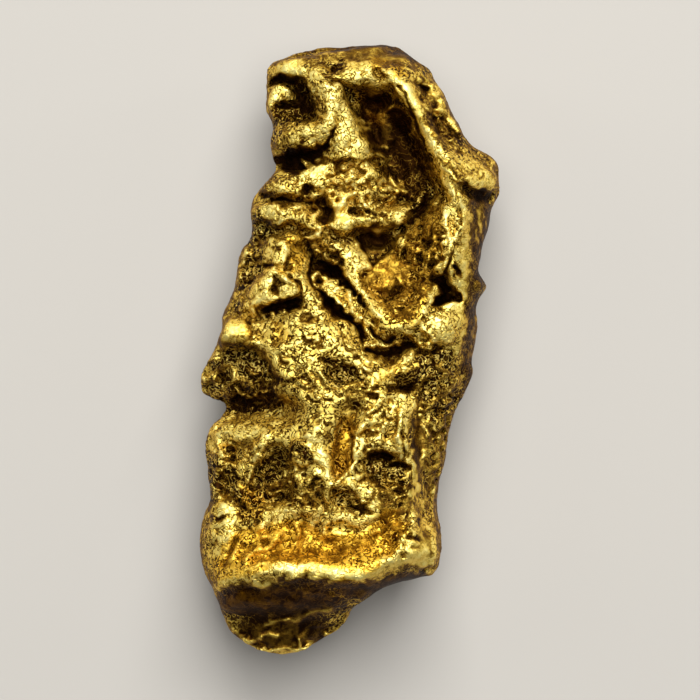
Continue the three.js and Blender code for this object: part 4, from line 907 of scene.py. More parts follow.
# Rubbed patches: partly burnished metal, partly painted highlight on faces turned to the light
RUBBED_AND_HIGHLIT = [
    (1.0, (-3.85, 13.4), (-3.4, 13.75), (-2.9, 13.9), (-2.4, 13.75), (-2.0, 13.35), (-1.4, 13.6),
     (-1.4, 13.1), (-1.8, 12.95), (-2.1, 13.0), (-2.6, 13.35), (-3.3, 13.55)),
    (0.95, (-3.9, 12.9), (-3.1, 12.85), (-2.8, 12.2), (-3.2, 12.3), (-3.6, 12.25), (-3.75, 11.8),
     (-3.95, 12.0)),
    (1.0, (-1.9, 12.7), (-1.2, 12.9), (-0.5, 13.0), (0.2, 11.8), (0.8, 10.9), (1.0, 10.5), (0.9, 10.2),
     (1.2, 9.7), (1.0, 9.2), (0.2, 9.3), (-0.8, 9.6), (-0.9, 10.3), (-1.1, 11.0), (-1.6, 11.4),
     (-1.0, 11.7)),
    (0.8, (-0.2, 14.0), (0.9, 14.2), (0.9, 13.8), (1.8, 13.4), (2.0, 13.0), (1.2, 12.7), (0.7, 12.9),
     (0.0, 13.0)),
    (0.5, (-1.0, 14.2), (0.1, 14.5), (0.4, 14.3), (-0.3, 14.05)),
    (0.9, (-2.8, 10.4), (-1.9, 10.75), (-1.2, 10.5), (-1.3, 9.95), (-1.6, 10.0), (-1.9, 10.1), (-2.3, 10.5),
     (-2.7, 9.9)),
    (0.8, (-1.6, 9.5), (-0.9, 9.5), (-0.9, 8.6), (-1.5, 8.2), (-2.2, 8.5), (-1.9, 9.0)),
    (0.9, (-1.0, 9.1), (1.1, 9.1), (1.3, 8.7), (2.0, 8.3), (2.5, 8.0), (2.0, 7.8), (1.2, 7.8), (0.8, 7.5),
     (0.1, 7.3), (-0.3, 7.7), (-0.6, 8.0), (-1.4, 8.2)),
    (0.95, (-0.9, 6.9), (-0.3, 7.5), (0.3, 7.5), (1.0, 7.2), (1.0, 7.0), (0.2, 7.05), (-0.4, 6.8),
     (0.0, 6.5), (-0.2, 5.9), (-0.8, 6.0), (-1.2, 6.4)),
    (1.0, (1.8, 6.9), (2.4, 7.2), (3.0, 6.9), (2.9, 6.6), (2.4, 6.1), (2.0, 6.2)),
    (0.6, (0.2, 6.5), (1.4, 6.3), (2.0, 5.9), (1.4, 5.7), (0.3, 6.0)),
    (0.8, (-1.7, 7.9), (-0.8, 8.0), (-0.7, 7.5), (-1.2, 7.4)),
    (0.9, (-4.0, 8.0), (-3.5, 8.1), (-3.0, 7.9), (-2.6, 7.9), (-2.4, 7.6), (-1.6, 7.45), (-1.5, 7.6),
     (-1.9, 8.5), (-2.4, 8.6), (-2.5, 8.1), (-3.2, 7.6)),
    (0.9, (-4.6, 7.3), (-4.3, 7.2), (-3.0, 7.1), (-2.0, 6.9), (-1.5, 6.7), (-1.6, 6.2), (-2.2, 6.4),
     (-2.6, 6.2), (-3.0, 6.2), (-3.6, 6.0), (-4.3, 6.5)),
    (0.9, (-2.0, 6.2), (-1.5, 6.6), (-1.5, 5.4), (-2.0, 5.5)),
    (1.0, (-0.5, 5.0), (0.2, 5.4), (0.9, 4.4), (0.9, 3.9), (0.2, 3.9), (-0.3, 4.4)),
    (0.9, (-4.0, 5.0), (-3.5, 5.4), (-3.0, 5.0), (-3.3, 4.0), (-3.7, 4.1), (-4.1, 4.6)),
    (0.95, (-3.7, 4.0), (-3.4, 3.8), (-2.5, 3.1), (-2.4, 2.7), (-3.3, 2.3), (-4.0, 2.2), (-4.8, 1.8),
     (-4.8, 2.6), (-4.3, 3.4)),
    (0.7, (-5.4, 4.2), (-5.1, 5.1), (-4.9, 5.0), (-5.1, 4.2)),
    (0.9, (-1.7, 3.6), (-0.9, 3.2), (-0.3, 3.0), (0.2, 2.5), (0.2, 1.8), (1.0, 1.2), (1.5, 1.5), (0.9, 1.0),
     (0.4, 1.3), (0.1, 1.9), (-0.3, 2.4), (-0.9, 2.9), (-1.6, 3.2)),
    (0.8, (-1.8, 5.0), (-1.4, 4.7), (-0.7, 4.4), (-0.2, 3.9), (0.1, 3.3), (0.9, 2.7), (1.5, 1.8),
     (1.1, 2.0), (0.5, 2.7), (-0.1, 3.2), (-0.4, 4.0), (-1.0, 4.4), (-1.7, 4.6)),
    (0.6, (5.1, 7.9), (5.4, 7.9), (5.7, 7.0), (5.8, 6.2), (5.6, 5.0), (5.5, 3.0), (5.4, 1.0), (5.2, -0.5),
     (4.9, 0.0), (5.0, 2.0), (5.2, 3.0), (5.3, 5.0), (5.2, 6.0), (5.4, 7.0)),
    (0.9, (4.6, 6.8), (4.9, 7.2), (5.1, 6.6), (5.1, 5.5), (4.6, 4.5), (4.3, 3.8), (4.4, 4.8), (4.8, 5.5),
     (4.6, 6.0)),
    (0.85, (4.6, 4.8), (4.9, 4.9), (5.0, 4.2), (5.3, 3.5), (5.4, 2.7), (5.0, 2.7), (4.8, 3.2)),
    (0.85, (4.1, 9.3), (5.0, 8.6), (5.2, 8.0), (5.0, 7.5), (4.7, 7.6), (4.5, 8.3)),
    (0.9, (3.9, 1.6), (4.3, 2.0), (5.3, 2.6), (5.3, 0.0), (4.1, 0.1), (3.4, 0.6), (3.9, 1.0)),
    (0.8, (2.7, 0.9), (3.2, 1.2), (3.9, 2.4), (4.05, 2.7), (3.7, 1.4), (3.3, 0.7)),
    (1.0, (4.4, 9.3), (5.2, 9.1), (6.0, 9.2), (6.9, 8.6), (7.0, 7.8), (6.3, 7.8), (5.5, 8.1), (5.1, 8.5)),
    (0.9, (2.0, 13.3), (2.4, 13.1), (3.1, 12.3), (3.3, 11.8), (3.4, 11.4), (3.9, 10.5), (4.3, 9.8),
     (4.9, 9.3), (4.4, 9.0), (4.0, 9.4), (3.6, 10.3), (3.3, 11.1), (2.9, 11.9), (2.4, 12.6)),
    (0.8, (3.4, 12.1), (3.8, 12.1), (3.8, 11.6), (3.4, 11.7)),
    (0.8, (4.4, 11.7), (4.8, 11.7), (5.4, 10.9), (5.6, 10.4), (5.0, 11.0)),
    (0.5, (4.1, 13.0), (4.5, 12.8), (4.8, 12.2), (4.5, 12.3)),
    (0.2, (-4.9, 1.6), (-3.0, 1.9), (-2.3, 2.6), (-2.2, 3.0), (-1.5, 2.6), (-0.9, 1.8), (0.1, 1.2),
     (0.6, 0.2), (0.2, -0.2), (-0.6, -0.5), (-1.2, -0.2), (-1.5, -0.6), (-1.4, -1.2), (-2.0, -1.4),
     (-3.5, -1.3), (-3.8, -0.5), (-4.5, 0.0)),
    (0.95, (0.1, -0.1), (0.6, -0.05), (1.0, -0.3), (1.2, -0.8), (0.8, -0.9), (0.2, -0.6)),
    (1.0, (-2.0, -4.2), (-1.4, -4.2), (-0.95, -5.2), (-0.9, -6.0), (-1.7, -6.0), (-2.0, -5.2)),
    (0.3, (-6.3, 0.7), (-5.9, 1.25), (-5.4, 1.35), (-4.9, 0.9), (-4.9, 0.4), (-5.5, 0.4)),
    (0.7, (0.8, -1.5), (1.5, -0.9), (3.1, -0.1), (3.0, -0.5), (2.4, -1.1), (1.2, -1.8)),
    (0.55, (1.0, -2.2), (3.0, -2.2), (3.3, -2.6), (2.7, -4.0), (2.5, -5.0), (1.9, -4.9), (1.2, -4.9),
     (0.6, -5.0), (0.4, -4.2), (1.0, -3.3)),
    (1.0, (1.1, -2.9), (1.25, -3.1), (0.45, -4.0), (0.4, -5.0), (0.45, -5.5), (0.2, -5.4), (0.15, -4.4),
     (0.3, -3.9)),
    (0.8, (-6.9, -4.0), (-6.3, -3.5), (-5.5, -3.3), (-4.9, -3.6), (-4.2, -3.3), (-3.4, -3.0), (-2.9, -3.0),
     (-3.0, -3.9), (-3.3, -4.1), (-4.0, -3.9), (-4.8, -4.3), (-5.8, -4.4), (-6.3, -4.8), (-6.9, -4.9)),
    (0.8, (-6.9, -4.5), (-6.5, -5.1), (-5.7, -5.6), (-5.9, -5.3), (-6.3, -4.5)),
    (1.0, (-4.3, -4.9), (-4.8, -5.6), (-5.05, -6.2), (-4.7, -5.9), (-4.15, -5.2)),
    (1.0, (-3.8, -3.9), (-4.35, -4.8), (-4.1, -4.8), (-3.6, -4.0)),
    (0.6, (-3.1, -5.2), (-2.2, -5.5), (-1.9, -5.4), (-2.2, -6.2), (-3.1, -6.0)),
    (0.6, (-1.3, -8.2), (-0.9, -8.0), (0.5, -8.1), (1.1, -7.9), (1.1, -8.7), (0.2, -8.9), (-0.8, -8.8),
     (-1.2, -8.6)),
    (0.8, (-4.1, -7.8), (-3.4, -7.5), (-2.5, -7.7), (-2.5, -8.1), (-3.2, -8.3), (-4.1, -8.6), (-4.5, -8.5)),
    (0.7, (-2.3, -7.9), (-1.2, -7.8), (-1.0, -8.4), (-1.4, -8.8), (-2.2, -8.4)),
    (0.8, (-0.5, -6.5), (0.2, -6.2), (1.0, -6.6), (1.5, -7.4), (1.1, -7.9), (0.6, -7.2), (0.1, -6.8)),
    (0.95, (-7.0, -7.9), (-6.4, -7.6), (-6.4, -6.9), (-6.0, -7.4), (-5.4, -8.0), (-5.5, -8.9), (-6.0, -9.9),
     (-6.7, -10.2), (-7.2, -9.5)),
    (0.2, (-5.6, -8.9), (-4.0, -8.4), (-2.4, -8.3), (1.2, -8.6), (1.4, -9.6), (0.9, -10.6), (-0.3, -10.7),
     (-3.2, -10.2), (-5.2, -10.9), (-6.6, -11.3), (-6.8, -10.4)),
    (0.85, (-3.6, -10.4), (-3.0, -10.2), (-2.0, -10.4), (-1.0, -10.3), (-0.4, -10.8), (0.6, -10.8),
     (1.6, -10.4), (2.6, -10.0), (3.0, -10.3), (2.2, -10.5), (1.2, -10.8), (0.6, -11.05), (-0.6, -11.1),
     (-1.4, -10.8), (-2.3, -10.9), (-2.8, -11.0), (-3.4, -10.8)),
    (1.0, (-6.7, -11.7), (-5.9, -11.1), (-5.1, -10.8), (-5.0, -10.1), (-3.7, -9.3), (-3.6, -9.7),
     (-4.7, -10.0), (-4.9, -10.8), (-6.2, -11.4)),
    (0.8, (-4.8, -11.1), (-4.6, -10.5), (-3.9, -10.2), (-3.8, -10.7), (-4.3, -10.7), (-4.5, -11.2)),
    (1.0, (3.3, -7.8), (2.9, -8.6), (2.5, -9.2), (2.0, -10.0), (2.3, -10.4), (3.9, -10.8), (4.2, -10.3),
     (4.1, -9.2), (3.8, -8.4)),
    (0.3, (2.45, -3.0), (2.85, -2.9), (2.75, -4.2), (2.7, -5.0), (3.1, -5.9), (3.4, -7.4), (3.2, -7.5),
     (3.0, -6.2), (2.6, -5.4), (2.4, -4.5)),
    (0.7, (-6.1, -13.2), (-5.7, -13.6), (-5.3, -14.2), (-5.6, -14.1), (-6.2, -13.4)),
    (0.8, (-4.6, -14.8), (-3.0, -14.6), (-2.3, -14.8), (-1.8, -14.5), (-2.4, -15.0), (-4.0, -15.0)),
]
# Amber patches: a warm tint, partly painted reflection of gold on gold
AMBER_AND_REFLECTION = [
    (1.0, (-5.6, -8.9), (-4.0, -8.4), (-2.4, -8.3), (-1.2, -8.8), (0.2, -8.9), (1.2, -8.4), (1.5, -7.6),
     (2.6, -7.6), (2.8, -8.6), (2.2, -9.6), (1.2, -10.6), (-0.3, -10.7), (-3.2, -10.2), (-5.2, -10.9),
     (-6.6, -11.3), (-6.8, -10.4)),
    (0.9, (0.2, -3.0), (0.3, -3.9), (0.1, -5.6), (-0.4, -6.2), (-0.9, -6.0), (-0.9, -5.0), (-0.7, -4.2),
     (-0.2, -3.1)),
    (0.6, (0.2, 3.7), (1.0, 4.0), (1.5, 4.4), (2.6, 5.3), (3.2, 6.3), (3.9, 7.2), (4.4, 6.8), (4.5, 5.2),
     (4.2, 3.6), (3.5, 2.0), (3.2, 1.3), (2.0, 1.2), (1.4, 2.0), (0.8, 2.9)),
    (0.9, (-3.4, 5.9), (-3.0, 5.6), (-2.3, 5.6), (-2.1, 4.8), (-2.3, 3.8), (-2.9, 3.8), (-3.0, 4.6),
     (-3.1, 5.4)),
    (0.9, (0.9, 14.3), (2.6, 13.9), (2.8, 13.2), (2.2, 13.2), (1.7, 13.6), (1.0, 13.6)),
    (0.6, (-0.1, 12.9), (1.1, 12.5), (1.9, 12.2), (1.8, 11.0), (0.8, 10.9), (0.2, 11.8)),
    (0.7, (3.9, 11.4), (4.4, 10.9), (4.3, 10.3), (3.9, 10.6)),
    (0.8, (0.9, -1.7), (1.8, -0.6), (2.6, -0.4), (2.3, -1.1), (1.4, -1.6)),
    (0.6, (-3.9, 1.4), (-3.3, 1.4), (-3.0, 0.6), (-3.4, 0.2), (-3.7, 0.6)),
    (0.7, (-5.0, 1.6), (-4.7, 1.2), (-4.7, 0.5), (-5.0, 0.6)),
    (0.8, (-5.4, -6.6), (-4.6, -6.9), (-4.1, -7.5), (-4.3, -8.3), (-4.9, -8.2), (-5.4, -7.9)),
    (1.0, (-6.6, -11.6), (-4.1, -11.6), (-0.5, -11.1), (1.2, -11.0), (0.0, -12.2), (-6.4, -13.0)),
]
# Thin bright rims (partly burnish, partly painted highlight) and thin dark seams (partly grooves, partly
# painted shadow under flakes and ledges): how strongly, half their width, and then their points in
# millimetres
RIM_HIGHLIGHTS = [
    (1.0, 0.07, (-2.8, 10.2), (-2.3, 10.5), (-1.7, 10.6), (-1.35, 10.3), (-1.5, 9.95), (-1.8, 9.75)),
    (0.7, 0.05, (6.2, 7.0), (6.3, 5.8), (6.1, 4.4)),
    (0.6, 0.05, (6.5, 7.0), (6.65, 6.2), (6.45, 5.2)),
    (0.7, 0.05, (5.95, 2.8), (6.05, 1.2), (5.9, -0.6)),
    (0.6, 0.05, (6.2, 2.6), (6.3, 1.4), (6.15, 0.2)),
    (1.0, 0.07, (1.75, 13.45), (2.1, 12.95), (2.45, 12.45), (2.85, 11.6), (3.2, 10.6), (3.55, 10.0)),
    (1.0, 0.14, (2.1, 13.25), (2.7, 12.85), (3.05, 12.35), (3.2, 11.95), (3.2, 11.6), (3.45, 11.1),
     (3.7, 10.75), (3.8, 10.2), (4.0, 9.7), (4.3, 9.4), (5.0, 9.0)),
    (0.7, 0.05, (-3.9, 13.8), (-3.3, 14.1), (-2.4, 14.25), (-1.4, 14.3), (-0.4, 14.45)),
    (1.0, 0.07, (3.5, 11.7), (3.45, 11.95), (3.65, 12.1), (3.85, 11.95), (3.8, 11.7), (3.6, 11.6)),
    (0.9, 0.06, (4.55, 11.75), (4.9, 11.5), (5.2, 11.0), (5.5, 10.5)),
    (1.0, 0.08, (6.9, 9.1), (7.0, 8.6), (7.05, 8.2)),
    (1.0, 0.13, (5.2, 7.9), (5.5, 7.2), (5.75, 6.5), (5.7, 5.7), (5.5, 5.0), (5.4, 3.0), (5.5, 0.8)),
    (0.9, 0.08, (4.95, 7.1), (4.7, 6.8), (4.6, 6.3), (4.65, 5.8), (4.9, 5.3), (4.75, 4.8), (4.5, 4.3),
     (4.3, 3.7)),
    (1.0, 0.08, (-3.3, 4.0), (-3.1, 4.5), (-3.0, 5.0), (-3.4, 5.3), (-3.8, 5.15), (-4.05, 4.7), (-3.9, 4.4),
     (-3.6, 4.3)),
    (1.0, 0.07, (-4.75, 1.9), (-4.5, 2.6), (-4.4, 3.2), (-4.0, 3.8), (-3.7, 3.95), (-3.2, 3.5), (-2.5, 3.0),
     (-2.35, 2.6)),
    (1.0, 0.06, (-1.85, 4.9), (-1.5, 4.6), (-0.9, 4.4), (-0.45, 4.1), (-0.15, 3.6), (0.15, 3.2),
     (0.5, 2.75), (0.95, 2.3), (1.5, 1.7)),
    (1.0, 0.06, (-1.7, 4.1), (-1.7, 3.6), (-1.5, 3.3), (-1.1, 2.95), (-0.7, 2.5), (-0.3, 2.0), (0.1, 1.6),
     (0.6, 1.3)),
    (0.9, 0.06, (3.1, 1.3), (3.4, 1.6), (3.7, 2.0), (3.9, 2.5), (4.05, 2.8)),
    (1.0, 0.06, (1.2, -2.9), (0.8, -3.4), (0.45, -3.9), (0.3, -4.6), (0.35, -5.2), (0.1, -5.7),
     (-0.3, -6.2)),
    (1.0, 0.05, (0.35, -4.9), (0.9, -5.05), (1.2, -4.95), (1.7, -4.85), (2.3, -5.1), (2.8, -5.5)),
    (1.0, 0.07, (2.35, -3.0), (2.3, -4.4), (2.65, -5.3), (2.95, -6.0), (3.15, -7.5)),
    (1.0, 0.08, (2.8, -2.9), (2.7, -4.2), (2.85, -5.0), (3.2, -6.0), (3.35, -7.5)),
    (0.9, 0.08, (-4.2, -4.9), (-4.6, -5.5), (-5.0, -6.2)),
    (0.8, 0.05, (-3.1, -5.0), (-2.6, -4.9), (-2.2, -5.1), (-2.0, -5.5)),
    (0.8, 0.05, (-3.2, -5.6), (-2.6, -5.9), (-2.2, -6.3)),
    (0.9, 0.06, (-6.7, -11.6), (-5.9, -11.0), (-5.2, -10.6), (-4.9, -10.0), (-4.3, -9.7), (-3.7, -9.4)),
    (0.9, 0.06, (-5.0, -11.1), (-4.8, -10.6), (-4.2, -10.2), (-3.9, -10.3), (-4.1, -10.7)),
    (0.8, 0.05, (-6.3, -11.1), (-5.4, -10.5), (-5.0, -9.9)),
    (1.0, 0.07, (3.3, -7.8), (3.6, -8.4), (3.9, -9.2), (4.05, -10.0)),
    (0.9, 0.06, (-6.1, -13.2), (-5.6, -13.9), (-5.0, -14.4), (-4.4, -14.85), (-3.0, -14.75), (-2.4, -14.9),
     (-1.9, -14.6), (-1.0, -14.2), (-0.4, -13.6), (-0.2, -13.2)),
]
SEAMS_AND_SHADOWS = [
    (0.9, 0.05, (2.3, 12.8), (2.7, 12.25), (2.98, 11.6), (3.15, 11.1), (3.4, 10.55), (3.65, 9.95)),
    (0.7, 0.04, (5.15, 7.6), (5.35, 7.1), (5.45, 6.6), (5.45, 6.0), (5.3, 5.4)),
    (0.8, 0.05, (4.35, 9.15), (4.9, 8.75), (5.2, 8.4), (5.6, 8.05)),
    (0.8, 0.05, (5.35, 8.75), (5.6, 8.5), (5.9, 8.55)),
    (0.7, 0.05, (6.0, 8.2), (6.25, 8.4), (6.2, 8.75)),
    (0.8, 0.06, (-1.35, 8.2), (-0.9, 7.9), (-0.5, 8.0), (-0.1, 7.6)),
    (0.8, 0.06, (0.0, 6.75), (0.45, 6.9), (0.95, 6.8), (1.3, 6.6)),
    (0.7, 0.06, (0.9, 8.35), (1.4, 8.3), (1.9, 8.1)),
    (0.7, 0.06, (1.0, 7.5), (1.5, 7.3), (2.0, 7.1), (2.4, 7.3)),
    (0.7, 0.05, (-0.9, 9.1), (-0.3, 9.25), (0.3, 9.15), (0.9, 9.3)),
    (0.7, 0.05, (-0.9, 11.9), (-0.7, 11.3), (-0.75, 10.8)),
    (0.8, 0.06, (-1.0, 5.7), (-0.3, 5.7), (0.2, 5.8)),
    (0.9, 0.08, (-3.75, 5.05), (-3.5, 5.0), (-3.35, 4.8)),
    (0.8, 0.05, (-3.0, 4.6), (-3.1, 4.15), (-3.2, 3.85)),
    (0.8, 0.05, (-4.15, 5.1), (-4.2, 4.7), (-4.1, 4.4)),
    (0.9, 0.06, (-3.6, 3.6), (-3.5, 3.2), (-3.65, 2.9), (-3.4, 2.75)),
    (0.9, 0.05, (-3.45, 3.25), (-3.1, 3.1), (-2.8, 3.1)),
    (0.7, 0.05, (-3.4, -1.65), (-2.4, -1.6), (-1.6, -1.6), (-0.4, -1.75), (0.6, -1.6), (1.2, -1.2)),
    (0.8, 0.05, (-3.4, -3.7), (-3.8, -4.0), (-4.2, -4.6)),
    (0.8, 0.05, (0.1, -4.1), (0.12, -4.7), (0.1, -5.2)),
    (0.8, 0.05, (2.5, -3.1), (2.48, -4.4), (2.75, -5.2), (3.05, -6.0), (3.25, -7.3)),
    (0.9, 0.07, (3.2, -8.05), (3.3, -8.35)),
    (0.9, 0.06, (2.9, -8.9), (3.2, -9.0), (3.35, -9.25)),
    (0.8, 0.05, (2.8, -8.6), (2.7, -9.0), (2.45, -9.4)),
]


def keep(mesh, name, values):
    """Stores one number for each point."""
    layer = mesh.attributes.new(name, "FLOAT", "POINT")
    layer.data.foreach_set("value", values.astype(np.float32))


def node(tree, kind, inputs=(), **settings):
    """Adds a node with its settings, and links or sets its inputs."""
    made = tree.nodes.new(kind)
    for name, value in settings.items():
        setattr(made, name, value)
    for key, value in dict(inputs).items():
        if isinstance(value, bpy.types.NodeSocket):
            tree.links.new(value, made.inputs[key])
        else:
            made.inputs[key].default_value = value
    return made


def linear(hex_colour):
    """An sRGB hex colour as linear RGBA."""
    channels = [int(hex_colour[i : i + 2], 16) / 255 for i in (1, 3, 5)]
    return [c / 12.92 if c <= 0.04045 else ((c + 0.055) / 1.055) ** 2.4 for c in channels] + [1]


keep(clay, "polish", paint(Face(points_of(clay), STRAY), POLISHED))
clay.transform(Matrix.Scale(MM, 4))

etching = bpy.data.node_groups.new("etched_skin", "GeometryNodeTree")
etching.interface.new_socket("Geometry", in_out="INPUT", socket_type="NodeSocketGeometry")
for name in ("Lump Pitch", "Lump Height", "Knob Pitch", "Knob Height", "Worm Pitch", "Worm Height", "Seed"):
    etching.interface.new_socket(name, in_out="INPUT", socket_type="NodeSocketFloat")
etching.interface.new_socket("Material", in_out="INPUT", socket_type="NodeSocketMaterial")
etching.interface.new_socket("Geometry", in_out="OUTPUT", socket_type="NodeSocketGeometry")
given = node(etching, "NodeGroupInput").outputs


def waves(pitch, height, detail, ridged):
    """Noise of a pitch and height. Ridged noise has thin raised tracks with rounded pits between them."""
    scale = node(etching, "ShaderNodeMath", {0: 1.0, 1: pitch}, operation="DIVIDE")
    field = node(
        etching,
        "ShaderNodeTexNoise",
        {"W": given["Seed"], "Scale": scale.outputs[0], "Detail": detail, "Distortion": 0.4},
        noise_dimensions="4D",
    )
    centred = node(etching, "ShaderNodeMath", {0: field.outputs[0], 1: 0.5}, operation="SUBTRACT").outputs[0]
    if ridged:
        spread = node(etching, "ShaderNodeMath", {0: centred}, operation="ABSOLUTE").outputs[0]
        ridges = {0: spread, 1: -5.0, 2: 0.5}
        centred = node(etching, "ShaderNodeMath", ridges, operation="MULTIPLY_ADD").outputs[0]
    else:
        centred = node(etching, "ShaderNodeMath", {0: centred, 1: 2.5}, operation="MULTIPLY").outputs[0]
    return node(etching, "ShaderNodeMath", {0: centred, 1: height}, operation="MULTIPLY").outputs[0]


lumps = waves(given["Lump Pitch"], given["Lump Height"], 1.0, False)
knobs = waves(given["Knob Pitch"], given["Knob Height"], 1.0, False)
worms = waves(given["Worm Pitch"], given["Worm Height"], 1.0, True)
smooth = node(etching, "GeometryNodeInputNamedAttribute", {"Name": "polish"}, data_type="FLOAT").outputs[0]
rough = node(etching, "ShaderNodeMath", {0: 1.0, 1: smooth}, operation="SUBTRACT").outputs[0]
fine = node(etching, "ShaderNodeMath", {0: knobs, 1: worms}, operation="ADD").outputs[0]
height = node(etching, "ShaderNodeMath", {0: fine, 1: rough, 2: lumps}, operation="MULTIPLY_ADD").outputs[0]
normal = node(etching, "GeometryNodeInputNormal").outputs[0]
shift = node(etching, "ShaderNodeVectorMath", {0: normal, "Scale": height}, operation="SCALE").outputs[0]
moved = node(etching, "GeometryNodeSetPosition", {"Geometry": given["Geometry"], "Offset": shift})
solid = node(etching, "GeometryNodeRealizeInstances", {"Geometry": moved.outputs[0]})
golden = {"Geometry": solid.outputs[0], "Material": given["Material"]}
golden = node(etching, "GeometryNodeSetMaterial", golden).outputs[0]
node(etching, "NodeGroupOutput", {"Geometry": golden})

# ---- Native gold ----
# Gold with some silver in it: deep yellow where it is burnished, dull and iron-stained in its hollows. The
# stain colour also carries painted shade in hollows, cracks and on flanks, and painted highlight on ridges
# and rubbed patches, and the amber tint carries painted reflection of gold on gold. The etched tracks finer
# than the mesh are bump, drawn at their real pitch.
TRACK_PITCH = 0.25 * MM
TRACK_DEPTH = 0.04 * MM
LINE_WIDTH = 0.085  # of the noise's own height, about a fifth of the pitch
LINE_EDGE = 1.3  # above 1, a line fades faster from its middle
MOTTLE_PITCH = 0.5 * MM
MOTTLE = 0.13  # the most that blotches add to the stain, or take from it
CLEAN_ROUGHNESS, STAINED_ROUGHNESS = 0.55, 0.65
ETCHED_BUMP, POLISHED_BUMP = 1.0, 0.15
# The warm tint of the amber patches, partly painted reflection of gold on gold
AMBER_REFLECTION_TINT = "#FFE9A4"
# From clean metal to black stain and painted shade
GOLD_TONES = [
    (0.0, "#FFF09A"),
    (0.25, "#F4DC74"),
    (0.42, "#CAAB46"),
    (0.56, "#765619"),
    (0.74, "#341D07"),
    (1.0, "#180B02"),
]
gold = bpy.data.materials.new("native_gold")
gold.use_nodes = True
tree = gold.node_tree
shader = tree.nodes["Principled BSDF"]
place = node(tree, "ShaderNodeTexCoord").outputs["Object"]
stain_and_shade, swing, amber_and_reflection, polish = (
    node(tree, "ShaderNodeAttribute", attribute_name=name).outputs["Fac"]
    for name in ("stain_and_shade", "swing", "amber_and_reflection", "polish")
)
tracks = node(
    tree, "ShaderNodeTexNoise", {"Vector": place, "Scale": 1 / TRACK_PITCH, "Detail": 2.0, "Distortion": 0.5}
).outputs[0]
offset = node(tree, "ShaderNodeMath", {0: tracks, 1: 0.5}, operation="SUBTRACT").outputs[0]
worm = node(tree, "ShaderNodeMath", {0: offset}, operation="ABSOLUTE").outputs[0]
line = node(
    tree, "ShaderNodeMapRange", {"Value": worm, "From Max": LINE_WIDTH, "To Min": 1.0, "To Max": 0.0}
).outputs[0]
line = node(tree, "ShaderNodeMath", {0: line, 1: LINE_EDGE}, operation="POWER").outputs[0]
mottling = node(
    tree,
    "ShaderNodeTexNoise",
    {"Vector": place, "Scale": 1 / MOTTLE_PITCH, "Detail": 4.0, "Roughness": 0.65},
).outputs[0]
blotch = node(
    tree,
    "ShaderNodeMapRange",
    {"Value": mottling, "From Min": 0.3, "From Max": 0.7, "To Min": -MOTTLE, "To Max": MOTTLE},
)
stain_and_shade = node(tree, "ShaderNodeMath", {0: stain_and_shade, 1: blotch.outputs[0]}, operation="ADD").outputs[0]
tone = node(tree, "ShaderNodeMath", {0: line, 1: swing, 2: stain_and_shade}, operation="MULTIPLY_ADD").outputs[0]
ramp = node(tree, "ShaderNodeValToRGB", {"Fac": tone})
ramp.color_ramp.elements[0].color = linear(GOLD_TONES[0][1])
ramp.color_ramp.elements[1].color = linear(GOLD_TONES[-1][1])
for position, tint in GOLD_TONES[1:-1]:
    ramp.color_ramp.elements.new(position).color = linear(tint)
warm = node(
    tree,
    "ShaderNodeMix",
    {0: amber_and_reflection, 6: ramp.outputs[0], 7: linear(AMBER_REFLECTION_TINT)},
    data_type="RGBA",
    blend_type="MULTIPLY",
).outputs[2]
tree.links.new(warm, shader.inputs["Base Color"])
dull = {"Value": tone, "To Min": CLEAN_ROUGHNESS, "To Max": STAINED_ROUGHNESS}
tree.links.new(node(tree, "ShaderNodeMapRange", dull).outputs[0], shader.inputs["Roughness"])
shader.inputs["Metallic"].default_value = 1
strength = {"Value": polish, "To Min": ETCHED_BUMP, "To Max": POLISHED_BUMP}
strength = node(tree, "ShaderNodeMapRange", strength).outputs[0]
bump = node(
    tree, "ShaderNodeBump", {"Strength": strength, "Distance": TRACK_DEPTH, "Height": line}, invert=True
).outputs[0]
tree.links.new(bump, shader.inputs["Normal"])

# The skin is put on, and thinned to what one piece may hold
nugget = bpy.data.objects.new("gold_nugget", clay)
bpy.context.scene.collection.objects.link(nugget)
skin = nugget.modifiers.new("etched_skin", "NODES")
skin.node_group = etching
settings = {
    "Lump Pitch": LUMP_PITCH,
    "Lump Height": LUMP_HEIGHT,
    "Knob Pitch": KNOB_PITCH,
    "Knob Height": KNOB_HEIGHT,
    "Worm Pitch": WORM_PITCH,
    "Worm Height": WORM_HEIGHT,
    "Seed": SKIN_SEED,
    "Material": gold,
}
for item in etching.interface.items_tree:
    if item.in_out == "INPUT" and item.name in settings:
        skin[item.identifier] = settings[item.name]
depsgraph = bpy.context.evaluated_depsgraph_get()
etched = bpy.data.meshes.new_from_object(nugget.evaluated_get(depsgraph))
nugget.modifiers.clear()


def rest_flat(mesh):
    """Wears the back flat where it rests."""
    points = points_of(mesh)
    points[:, 2] = np.maximum(points[:, 2], 0)
    mesh.vertices.foreach_set("co", points.astype(np.float32).ravel())


def sunken(mesh, reaches):
    """How far each point lies below its surroundings, smoothed out to each reach. All in millimetres."""
    points, normals = points_of(mesh) / MM, normals_of(mesh)
    ends = np.empty(len(mesh.edges) * 2, np.int32)
    mesh.edges.foreach_get("vertices", ends)
    a, b = ends[0::2], ends[1::2]
    total = len(points)
    count = np.bincount(ends, minlength=total)[:, None]
    calm = points.copy()
    done = 0
    depths = []
    for reach in reaches:
        rounds = round((reach / GRAIN) ** 2 / 0.3)
        for _ in range(rounds - done):
            pull = [np.bincount(a, calm[b, k], total) + np.bincount(b, calm[a, k], total) for k in range(3)]
            calm = 0.4 * calm + 0.6 * np.stack(pull, 1) / count
        done = rounds
        depths.append(((calm - points) * normals).sum(1))
    return depths


def less(amount, *causes):
    """What is left of an amount after each cause has taken its share of it, point by point."""
    for cause, share in causes:
        amount = amount * (1 - share * cause)
    return amount


